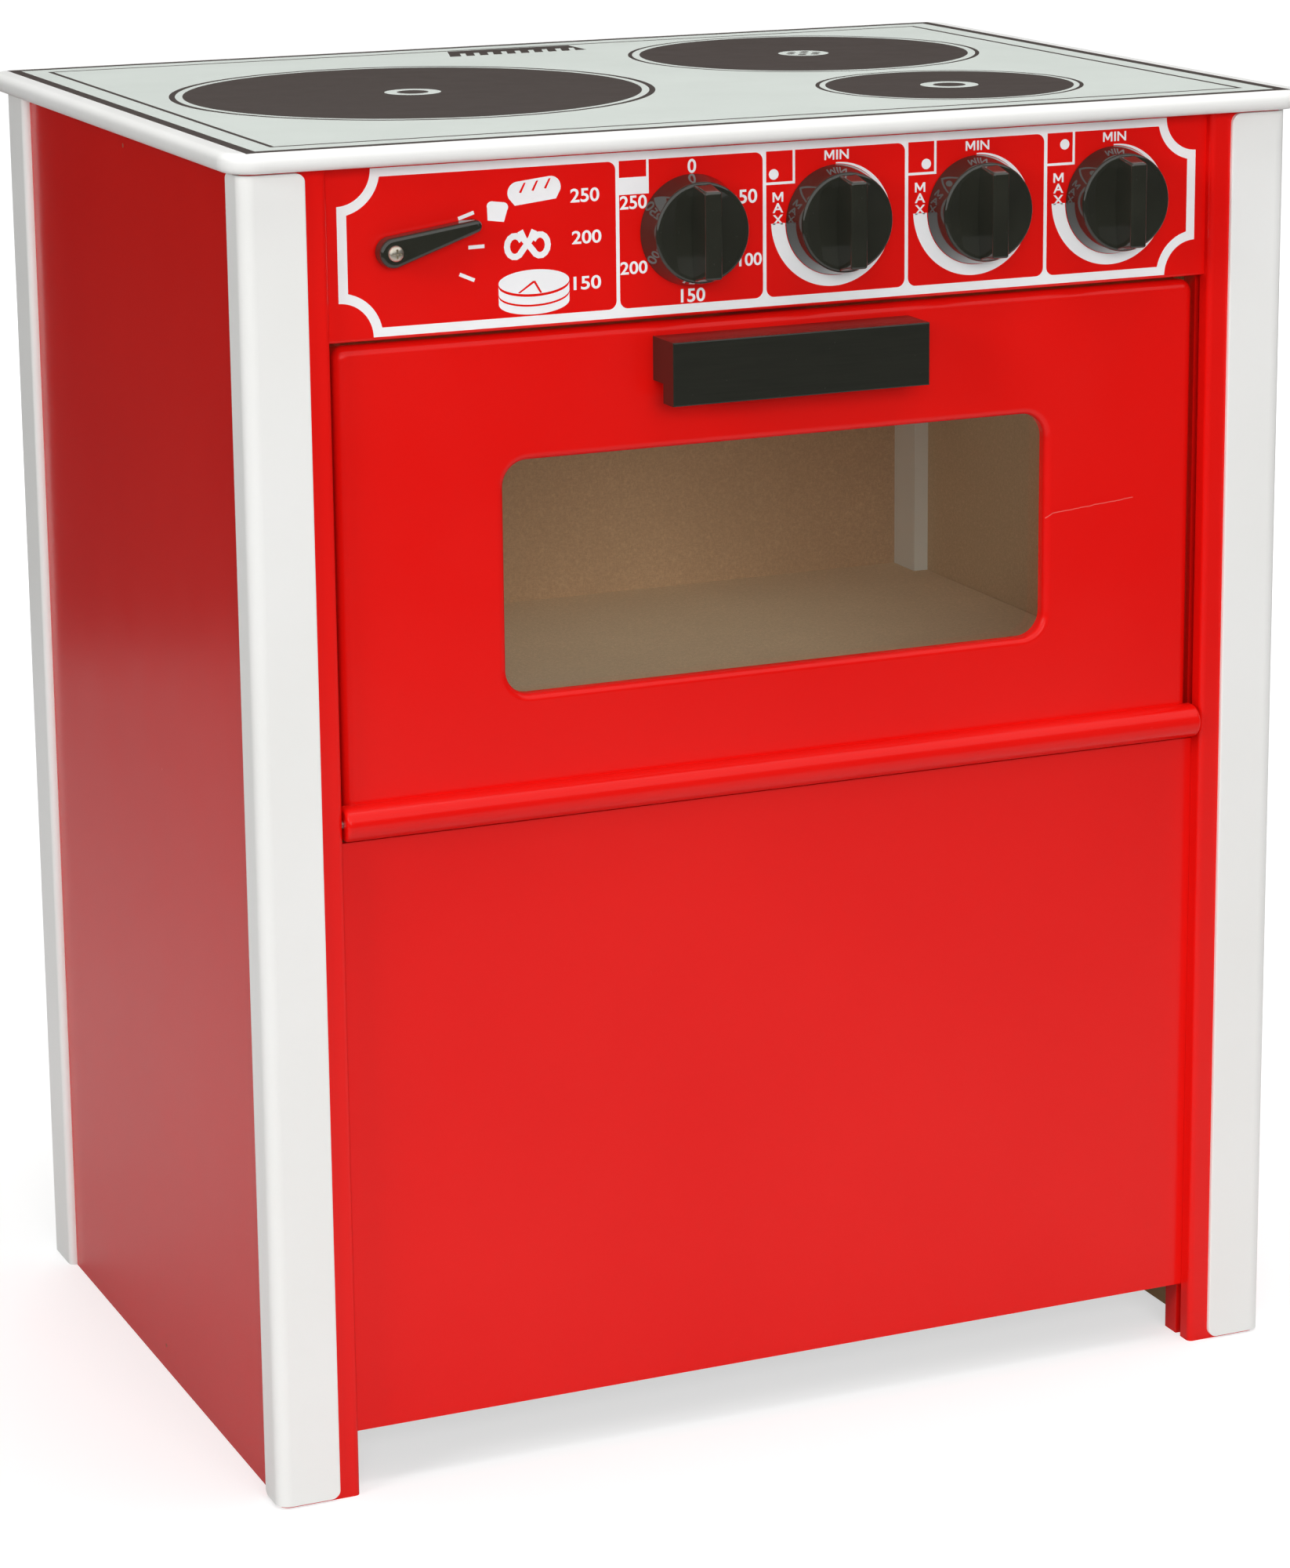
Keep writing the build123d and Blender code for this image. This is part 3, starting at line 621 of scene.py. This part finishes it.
def cell(x0, x1, y0, y1, left_notch=0.0, right_notch=0.0, square_top=False):
    """A cell of the printed frame: rounded corners, or corners cut back round the frame's own corners."""
    points = []
    r = cell_corner
    if left_notch:
        points += arc(-frame_half, frame_low, left_notch, 90, 0)
    else:
        points += arc(x0 + r, y0 + r, r, 180, 270, 8)
    if right_notch:
        points += arc(frame_half, frame_low, right_notch, 180, 90)
        points += arc(frame_half, frame_high, right_notch, 270, 180)
    else:
        points += arc(x1 - r, y0 + r, r, 270, 360, 8)
        points += arc(x1 - r, y1 - r, r, 0, 90, 8)
    if left_notch:
        points += arc(-frame_half, frame_high, left_notch, 0, -90)
    elif square_top:
        points += [(x0, y1)]
    else:
        points += arc(x0 + r, y1 - r, r, 90, 180, 8)
    return [(min(max(x, x0), x1), min(max(y, y0), y1)) for x, y in points]


def curve_mesh(curve):
    """The mesh of a flat curve or text object, closed."""
    holder = bpy.data.objects.new("holder", curve)
    bpy.context.scene.collection.objects.link(holder)
    bpy.context.view_layer.update()
    graph = bpy.context.evaluated_depsgraph_get()
    mesh = bpy.data.meshes.new_from_object(holder.evaluated_get(graph))
    bpy.data.objects.remove(holder)
    bpy.data.curves.remove(curve)
    return mesh


def ink_of(*loops):
    """A thin closed plate filling the loops; a loop inside another is a hole."""
    curve = bpy.data.curves.new("loops", "CURVE")
    curve.dimensions = "2D"
    curve.fill_mode = "BOTH"
    curve.extrude = ink
    for loop in loops:
        spline = curve.splines.new("POLY")
        spline.points.add(len(loop) - 1)
        for point, (x, y) in zip(spline.points, loop):
            point.co = (x, y, 0, 1)
        spline.use_cyclic_u = True
    return curve_mesh(curve)


def lettering(words, x0, x1, y0, y1):
    """Words or numbers fitted into a box."""
    curve = bpy.data.curves.new("words", "FONT")
    curve.body = words
    curve.size = 10.0
    curve.offset = letter_weight * curve.size
    curve.resolution_u = 6
    curve.extrude = ink
    mesh = curve_mesh(curve)
    xs = [v.co.x for v in mesh.vertices]
    ys = [v.co.y for v in mesh.vertices]
    wide, high = max(xs) - min(xs), max(ys) - min(ys)
    for v in mesh.vertices:
        v.co.x = x0 + (v.co.x - min(xs)) * (x1 - x0) / wide
        v.co.y = y0 + (v.co.y - min(ys)) * (y1 - y0) / high
    return mesh


def capital_m(x0, x1, y0, y1):
    """The letter M as one outline, fitted into a box."""
    outline = ((0, 0), (0, 1), (0.2, 1), (0.5, 0.42), (0.8, 1), (1, 1), (1, 0))
    outline += ((0.83, 0), (0.83, 0.66), (0.57, 0.16), (0.43, 0.16), (0.17, 0.66), (0.17, 0))
    return ink_of([(x0 + u * (x1 - x0), y0 + v * (y1 - y0)) for u, v in outline])


def print_piece(name, meshes, finish, placing, body="carcass"):
    """Joins thin plates into one printed piece, lays it on its surface and lets it ride."""
    build = bmesh.new()
    for mesh in meshes:
        build.from_mesh(mesh)
        bpy.data.meshes.remove(mesh)
    bmesh.ops.remove_doubles(build, verts=build.verts, dist=0.002)
    build.transform(Matrix.Scale(MM, 4) @ placing)
    bmesh.ops.recalc_face_normals(build, faces=build.faces)
    mesh = bpy.data.meshes.new(name)
    build.to_mesh(mesh)
    build.free()
    mesh.materials.append(materials[finish])
    piece = bpy.data.objects.new(name, mesh)
    bpy.context.scene.collection.objects.link(piece)
    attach(piece, body)
    return piece


on_panel = Matrix.Translation((0, panel_low.y, panel_low.z)) @ Matrix.Rotation(pi / 2, 4, "X")
on_hob = Matrix.Translation((0, trim_front, board_high.z))


def panel_frame():
    """The white frame round the five cells."""
    outer = arc(-frame_half, frame_low, frame_notch, 90, 0)
    outer += arc(frame_half, frame_low, frame_notch, 180, 90)
    outer += arc(frame_half, frame_high, frame_notch, 270, 180)
    outer += arc(-frame_half, frame_high, frame_notch, 0, -90)
    half = separator / 2
    low, high = frame_low + band_low, frame_high - band_high
    lefts = [band_side - frame_half] + [x + half for x in separator_xs]
    rights = [x - half for x in separator_xs] + [frame_half - band_side]
    notch = frame_notch + band_side
    cells = [
        cell(x0, x1, low, high, notch * (i == 0), notch * (i == 4), i > 0)
        for i, (x0, x1) in enumerate(zip(lefts, rights))
    ]
    return ink_of(outer, *cells)


def dial_arc(x, y):
    """The crescent round a hob knob: wide at the left, tapering round the foot and the right to the top."""
    steps = 90
    outer, inner = [], []
    for i in range(steps + 1):
        share = i / steps
        angle = radians(180 + 270 * share)
        wide = dial_arc_inner + dial_arc_width * (1 - share) + dial_arc_tip * share
        outer.append((x + wide * cos(angle), y + wide * sin(angle)))
        inner.append((x + dial_arc_inner * cos(angle), y + dial_arc_inner * sin(angle)))
    return ink_of(outer + inner[::-1])


def stroke(points, width):
    """A ribbon of one width along points."""
    left, right = [], []
    for i, (x, y) in enumerate(points):
        before, after = points[max(i - 1, 0)], points[min(i + 1, len(points) - 1)]
        along = Vector((after[0] - before[0], after[1] - before[1])).normalized() * (width / 2)
        left.append((x - along.y, y + along.x))
        right.append((x + along.y, y - along.x))
    return ink_of(left + right[::-1])


def turned(points, x, y, angle):
    """Points turned about one of them."""
    c, s = cos(radians(angle)), sin(radians(angle))
    return [(x + (u - x) * c - (v - y) * s, y + (u - x) * s + (v - y) * c) for u, v in points]


def bread():
    """A plain loaf with three cuts, and a slice beside it."""
    x, y, half = -93.0, 43.2, 9.8
    loaf = [(x - half + 2.2, y)] + arc(x - half + 3.8, y + 4.2, 3.8, 200, 90, 8)
    loaf += arc(x + half - 3.8, y + 4.2, 3.8, 90, -20, 8) + [(x + half - 2.2, y)]
    shapes = [turned(loaf, x, y, 6)]
    for i in range(3):
        u = x - 5.6 + 4.6 * i
        cut = [(u, y + 4.2), (u + 0.8, y + 3.9), (u + 2.9, y + 7.2), (u + 2.1, y + 7.2)]
        shapes.append(turned(cut, x, y, 6))
    u, v = -107.6, 37.6
    piece = [(u - 3.0, v), (u + 3.0, v)] + arc(u + 2.2, v + 4.9, 1.7, -30, 90, 6)
    piece += arc(u - 2.2, v + 4.9, 1.7, 90, 210, 6)
    return [ink_of(*shapes), ink_of(turned(piece, u, v, -8))]


def pretzel():
    """A plain pretzel: two loops that cross in the middle, ends at the top."""
    x, y = -96.2, 28.3
    halves = []
    for side in (-1, 1):
        turns = [radians(-150 + 25 * i) for i in range(13)]
        path = [(side * 2.6, 5.4), (side * 1.2, 2.4)]
        path += [(-side * (4.6 + 2.9 * cos(a)), 0.2 + 3.6 * sin(a)) for a in turns]
        mesh = stroke([(x + u, y + v) for u, v in path], 2.2)
        mesh.transform(Matrix.Translation((0, 0, 0.02 * (side > 0))))
        halves.append(mesh)
    return halves


def cake():
    """A plain layer cake: its top with one slice marked out, and two layers below."""
    x, y, wide, deep = -94.0, 16.0, 13.0, 4.2
    slice_gap = [(x - 0.4, y + 0.3), (x - 6.0, y - 3.5), (x - 5.2, y - 3.65), (x, y - 0.4)]
    slice_gap += [(x + 2.2, y - 4.0), (x + 3.0, y - 3.95), (x + 0.5, y + 0.3)]
    top = [(x + wide * cos(2 * pi * i / 64), y + deep * sin(2 * pi * i / 64)) for i in range(64)]
    shapes = [ink_of(top, slice_gap)]
    for low, high in ((0.9, 3.6), (4.3, 7.0)):
        edge = [(x + wide * cos(pi + pi * i / 32), deep * sin(pi + pi * i / 32)) for i in range(33)]
        upper = [(u, y - low + v) for u, v in edge]
        lower = [(u, y - high + v) for u, v in edge[::-1]]
        shapes.append(ink_of(upper + lower))
    return shapes


def dash(start, end):
    """One short mark beside the lever."""
    return stroke([start, end], dash_width)


def corner_sign(start, bar):
    """The sign in a cell's upper left corner: a bar whose right end runs up to the frame."""
    top = frame_high - band_high
    low = top - sign_height
    right = start + sign_width
    return ink_of(
        [
            (start, low),
            (right, low),
            (right, top),
            (right - sign_line, top),
            (right - sign_line, low + bar),
            (start, low + bar),
        ]
    )


def panel_marks():
    """Everything printed inside the cells."""
    low = frame_high - band_high - sign_height
    marks = [lettering(*entry) for group in numbers.values() for entry in group]
    marks += [dash(*ends) for ends in dashes]
    marks += bread() + pretzel() + cake()
    marks.append(corner_sign(separator_xs[0] + separator / 2, oven_sign_bar))
    for x, left, (dot_x, dot_y) in zip(knob_xs[1:], separator_xs[1:], sign_dots):
        rises = (low_word_rise, low_word_rise + word_height)
        marks.append(capital_m(x + low_word_m[0], x + low_word_m[1], *rises))
        marks.append(lettering("IN", x + low_word_in[0], x + low_word_in[1], *rises))
        for letter, rise in letter_rises.items():
            box = (x + high_word_x, x + high_word_x + letter_width, rise, rise + word_height)
            marks.append(capital_m(*box) if letter == "M" else lettering(letter, *box))
        marks.append(dial_arc(x, knob_rise))
        start = left + separator / 2
        marks.append(corner_sign(start, sign_line))
        marks.append(ink_of(circle(start + dot_x, low + dot_y, sign_dot, 40)))
    return marks


print_piece("panel_frame_print", [panel_frame()], "white_ink", on_panel)
print_piece("panel_marks_print", panel_marks(), "white_ink", on_panel)


def line_frame(half, front, rear, width):
    """A printed line round the hob."""
    w = width / 2
    outer = rectangle(-half - w, half + w, front - w, rear + w)
    inner = rectangle(w - half, half - w, front + w, rear - w)
    return ink_of(outer, inner)


def ring(x, y, outer, inner):
    return ink_of(circle(x, y, outer), circle(x, y, inner))


def vent_print():
    """A plain vent at the back of the hob: a dark comb with slanted teeth."""
    half, front, rear = vent
    points = [(-half + (rear - front) * vent_slant, rear), (-half, front)]
    lean = vent_notch * vent_slant
    for i in range(1, vent_teeth):
        x = -half + 2 * half / vent_teeth * i
        points += [
            (x - vent_gap / 2, front),
            (x - vent_gap / 2 + lean, front + vent_notch),
            (x + vent_gap / 2 + lean, front + vent_notch),
            (x + vent_gap / 2, front),
        ]
    return ink_of(points + [(half, front), (half, rear)])


def hob_print():
    """The dark print on the hob: two lines, three plates with their rings and a vent."""
    shapes = [line_frame(*outer_line, outer_line_width), line_frame(*inner_line, inner_line_width)]
    for x, y, radius, hole, dot, ring_outer, ring_inner in plates:
        shapes.append(ink_of(circle(x, y, radius), circle(x, y, hole)))
        if dot:
            shapes.append(ink_of(circle(x, y, dot)))
        shapes.append(ring(x, y, radius + ring_outer, radius + ring_inner))
    x, y = plates[-1][:2]
    shapes.append(ink_of(circle(x, y, small_dot, 24)))
    for a in (2 * pi * i / 6 for i in range(6)):
        place = (x + small_dot_ring * cos(a), y + small_dot_ring * sin(a))
        shapes.append(ink_of(circle(*place, small_dot, 24)))
    return shapes + [vent_print()]


print_piece("hob_print", hob_print(), "dark_ink", on_hob)


# Screws with crossed heads, in the places of the CAD's plain ones
def islands(mesh):
    """The points of each separate solid in a mesh, in millimetres."""
    build = bmesh.new()
    build.from_mesh(mesh)
    bmesh.ops.remove_doubles(build, verts=build.verts, dist=1e-6)
    build.verts.ensure_lookup_table()
    left = set(range(len(build.verts)))
    groups = []
    while left:
        wave = [min(left)]
        left.remove(wave[0])
        found = []
        while wave:
            vertex = build.verts[wave.pop()]
            found.append(vertex.co / MM)
            for edge in vertex.link_edges:
                other = edge.other_vert(vertex).index
                if other in left:
                    left.remove(other)
                    wave.append(other)
        groups.append(found)
    build.free()
    return groups


def lathe(profile, steps=40):
    """A closed solid turned about z from a profile of radius and height that starts and ends on the axis."""
    points, faces = [(0, 0, profile[0][1])], []
    for radius, height in profile[1:-1]:
        for i in range(steps):
            turn = 2 * pi * i / steps
            points.append((radius * cos(turn), radius * sin(turn), height))
    points.append((0, 0, profile[-1][1]))
    last = len(profile) - 3
    for i in range(steps):
        j = (i + 1) % steps
        faces.append((0, 1 + i, 1 + j))
        for k in range(last):
            a, b = 1 + k * steps, 1 + (k + 1) * steps
            faces.append((a + i, b + i, b + j, a + j))
        faces.append((1 + last * steps + i, len(points) - 1, 1 + last * steps + j))
    return solid_mesh(points, faces)


def solid_mesh(points, faces):
    """A mesh with its faces turned outwards."""
    build = bmesh.new()
    places = [build.verts.new(p) for p in points]
    for face in faces:
        build.faces.new([places[i] for i in face])
    bmesh.ops.recalc_face_normals(build, faces=build.faces)
    mesh = bpy.data.meshes.new("solid")
    build.to_mesh(mesh)
    build.free()
    return mesh


def cross(reach, half, top, depth):
    """The cutter for a cross recess, tapered to its foot."""
    outline = [(half, half), (half, reach), (-half, reach), (-half, half), (-reach, half), (-reach, -half)]
    outline += [(-x, -y) for x, y in outline]

    def drawn_in(value):
        return value * (0.6 if abs(value) == reach else 0.8)

    foot = [(drawn_in(x), drawn_in(y)) for x, y in outline]
    points = [(x, y, top) for x, y in outline] + [(x, y, top - depth) for x, y in foot]
    n = len(outline)
    faces = [tuple(range(n)), tuple(range(n, 2 * n))]
    faces += [(i, (i + 1) % n, n + (i + 1) % n, n + i) for i in range(n)]
    return solid_mesh(points, faces)


def crossed_screw(radius, height, shank, length):
    """A pan-head screw with a domed head and a cross recess, its head's seat at the origin."""
    dome = ((0, 1), (0.3, 0.98), (0.55, 0.9), (0.75, 0.77), (0.9, 0.56), (0.98, 0.34), (1, 0.2), (1, 0))
    profile = [(radius * r, height * h) for r, h in dome]
    profile += [(shank, 0), (shank, -length + 0.8 * shank), (shank * 0.5, -length), (0, -length)]
    body = bpy.data.objects.new("body", lathe(profile))
    tool = bpy.data.objects.new("tool", cross(radius * 0.66, radius * 0.15, height + 0.2, height * 0.7 + 0.2))
    for item in (body, tool):
        bpy.context.scene.collection.objects.link(item)
    cut = body.modifiers.new("cut", "BOOLEAN")
    cut.operation = "DIFFERENCE"
    cut.solver = "EXACT"
    cut.object = tool
    bpy.context.view_layer.update()
    mesh = bpy.data.meshes.new_from_object(body.evaluated_get(bpy.context.evaluated_depsgraph_get()))
    for item in (body, tool):
        old = item.data
        bpy.data.objects.remove(item)
        bpy.data.meshes.remove(old)
    return mesh


def fitted_screws(node):
    """Crossed screws in the places of a node's plain ones."""
    build = bmesh.new()
    for points in islands(nodes[node].data):
        low = Vector([min(p[a] for p in points) for a in range(3)])
        high = Vector([max(p[a] for p in points) for a in range(3)])
        size, middle = high - low, (low + high) / 2
        axis = min(range(3), key=lambda a: abs(size[(a + 1) % 3] - size[(a + 2) % 3]))
        one, two = (axis + 1) % 3, (axis + 2) % 3
        radius = size[one] / 2
        offs = [((p[one] - middle[one]) ** 2 + (p[two] - middle[two]) ** 2) ** 0.5 for p in points]
        rim = [p[axis] for p, off in zip(points, offs) if off > radius * 0.93]
        shank = max(off for off in offs if off < radius * 0.9)
        outward = 1 if sum(rim) / len(rim) > middle[axis] else -1
        top = high[axis] if outward > 0 else low[axis]
        seat = min(rim) if outward > 0 else max(rim)
        height = abs(top - seat)
        way = Vector((0, 0, 0))
        way[axis] = outward
        place = middle.copy()
        place[axis] = seat
        mesh = crossed_screw(radius, height, shank, size[axis] - height)
        turn = Vector((0, 0, 1)).rotation_difference(way).to_matrix().to_4x4()
        mesh.transform(Matrix.Scale(MM, 4) @ Matrix.Translation(place) @ turn)
        build.from_mesh(mesh)
        bpy.data.meshes.remove(mesh)
    mesh = bpy.data.meshes.new(node + "_crossed")
    build.to_mesh(mesh)
    build.free()
    mesh.shade_smooth()
    mesh.set_sharp_from_angle(angle=radians(32))
    mesh.materials.append(nodes[node].material_slots[0].material)
    piece = bpy.data.objects.new(node + "_crossed", mesh)
    bpy.context.scene.collection.objects.link(piece)
    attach(piece, nodes[node]["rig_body"])
    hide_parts(node)


for name in sorted(nodes):
    if name.endswith(("_screw", "_screws")):
        fitted_screws(name)


# Stage, camera and light
def stage():
    """A pale floor that runs out of sight, white wherever the object's shadow doesn't fall."""
    mesh = bpy.data.meshes.new("floor")
    far = 30.0
    mesh.from_pydata([(-far, -far, 0), (far, -far, 0), (far, far, 0), (-far, far, 0)], [], [(0, 1, 2, 3)])
    shader = Shader("floor")
    rays = shader.add("ShaderNodeLightPath")
    seen = shader.both(rays.outputs["Is Camera Ray"], rays.outputs["Is Transmission Ray"])
    seen = shader.both(seen, shader.maths("MULTIPLY", rays.outputs["Is Glossy Ray"], floor_gleam))
    away = shader.add("ShaderNodeVectorMath", {0: shader.place}, operation="LENGTH").outputs["Value"]
    glow = shader.span(away, *floor_glow_reach, *floor_glow)
    near, far_off = ((tone, tone, tone, 1) for tone in floor_tones)
    shader.set(
        Base_Color=shader.mix(shader.span(away, *floor_tone_reach), near, far_off),
        Roughness=0.9,
        Emission_Color=(1, 1, 1, 1),
        Emission_Strength=shader.maths("MULTIPLY", seen, glow),
    )
    mesh.materials.append(shader.material)
    floor = bpy.data.objects.new("floor", mesh)
    bpy.context.scene.collection.objects.link(floor)


def screen():
    """A dark studio screen round the floor, higher behind. Only reflections show it."""
    steps, radius = 96, screen_radius
    points, faces = [], []
    for i in range(steps):
        turn = 2 * pi * i / steps
        top = 1.0 + 0.45 * sin(turn) + 0.35 * cos(turn)
        for z in (0.0, 0.15, top):
            points.append((radius * cos(turn), radius * sin(turn), z))
    for i in range(steps):
        a, b = 3 * i, 3 * ((i + 1) % steps)
        faces += [(a, b, b + 1, a + 1), (a + 1, b + 1, b + 2, a + 2)]
    mesh = bpy.data.meshes.new("screen")
    mesh.from_pydata(points, [], faces)
    shader = Shader("screen")
    rise = shader.axes()[2]
    shader.set(
        Base_Color=shader.mix(shader.span(rise, 0.0, 0.3), (0.1, 0.1, 0.1, 1), (0.025, 0.025, 0.025, 1)),
        Roughness=0.9,
    )
    mesh.materials.append(shader.material)
    holder = bpy.data.objects.new("screen", mesh)
    bpy.context.scene.collection.objects.link(holder)
    for kind in ("camera", "diffuse", "transmission", "shadow", "volume_scatter"):
        setattr(holder, "visible_" + kind, False)


def sky():
    """A white surround for what is seen, and a softer one for what it lights."""
    world = bpy.data.worlds.new("surround")
    bpy.context.scene.world = world
    world.use_nodes = True
    tree = world.node_tree
    background = tree.nodes["Background"]
    rays = tree.nodes.new("ShaderNodeLightPath")
    seen = tree.nodes.new("ShaderNodeMath")
    seen.operation = "MAXIMUM"
    tree.links.new(rays.outputs["Is Camera Ray"], seen.inputs[0])
    tree.links.new(rays.outputs["Is Transmission Ray"], seen.inputs[1])
    also = tree.nodes.new("ShaderNodeMath")
    also.operation = "MAXIMUM"
    tree.links.new(seen.outputs[0], also.inputs[0])
    tree.links.new(rays.outputs["Is Glossy Ray"], also.inputs[1])
    strength = tree.nodes.new("ShaderNodeMapRange")
    strength.inputs["To Min"].default_value = surround_strength
    strength.inputs["To Max"].default_value = 1.0
    tree.links.new(also.outputs[0], strength.inputs["Value"])
    tree.links.new(strength.outputs["Result"], background.inputs["Strength"])
    background.inputs["Color"].default_value = (1, 1, 1, 1)


def lamp(name, place, aim, size, power, gleam):
    """A soft lamp. Only its gleam, a share of its power, makes highlights."""
    for kind, share in (("soft", 1.0 - gleam), ("gleam", gleam)):
        if not share:
            continue
        light = bpy.data.lights.new(name + "_" + kind, "AREA")
        light.shape = "RECTANGLE"
        light.size, light.size_y = size
        light.energy = power * share
        holder = bpy.data.objects.new(name + "_" + kind, light)
        bpy.context.scene.collection.objects.link(holder)
        holder.location = place
        holder.visible_camera = False
        holder.visible_glossy = kind == "gleam"
        holder.rotation_mode = "QUATERNION"
        holder.rotation_quaternion = (Vector(aim) - Vector(place)).to_track_quat("-Z", "Y")


def camera():
    """The camera, from its bearing, its rise and its roll."""
    lens = bpy.data.cameras.new("camera")
    lens.sensor_fit = "AUTO"
    lens.sensor_width = camera_sensor
    lens.lens = camera_lens
    lens.shift_x, lens.shift_y = camera_shift
    lens.clip_start, lens.clip_end = 0.01, 100.0
    holder = bpy.data.objects.new("camera", lens)
    bpy.context.scene.collection.objects.link(holder)
    bearing, rise, roll = radians(camera_azimuth), radians(camera_elevation), radians(camera_roll)
    back = Vector((sin(bearing) * cos(rise), -cos(bearing) * cos(rise), sin(rise)))
    right = (-back).cross(Vector((0, 0, 1))).normalized()
    up = right.cross(-back)
    turned_right = right * cos(roll) + up * sin(roll)
    turned_up = up * cos(roll) - right * sin(roll)
    holder.matrix_world = Matrix.Translation(Vector(camera_place) * MM) @ Matrix(
        (turned_right, turned_up, back)
    ).transposed().to_4x4()
    bpy.context.scene.camera = holder


# The floor's grey and its glow, each near the object and far off, and the distances between which they change
floor_tones = (0.52, 0.27)
floor_tone_reach = (0.35, 1.1)
floor_glow = (0.58, 0.97)
floor_glow_reach = (0.3, 1.4)
floor_gleam = 0.1
screen_radius = 1.25
surround_strength = 0.22

# Each lamp: place, what it faces, size, power, and the share of the power that makes highlights
lamps = {
    "key": ((-0.55, -2.7, 1.15), (0, 0, 0.3), (2.1, 1.0), 44.6, 0.07),
    "top": ((0.1, -0.2, 2.1), (0, 0, 0.4), (1.1, 1.1), 23.4, 0.36),
    "fill": ((-2.4, -0.9, 1.25), (0, 0, 0.25), (0.8, 0.8), 24.4, 0.5),
    "right": ((2.5, -0.4, 1.2), (0, 0, 0.25), (1.4, 1.4), 16.0, 0.0),
    "back": ((0.5, 2.6, 1.2), (0, 0, 0.25), (1.6, 1.2), 30.0, 0.0),
    "oven": ((0.02, 0.02, 0.392), (0.02, 0.04, 0.25), (0.26, 0.14), 0.06, 0.0),
}

stage()
screen()
sky()
for name, values in lamps.items():
    lamp(name, *values)
camera()

scene = bpy.context.scene
scene.view_settings.view_transform = "Standard"
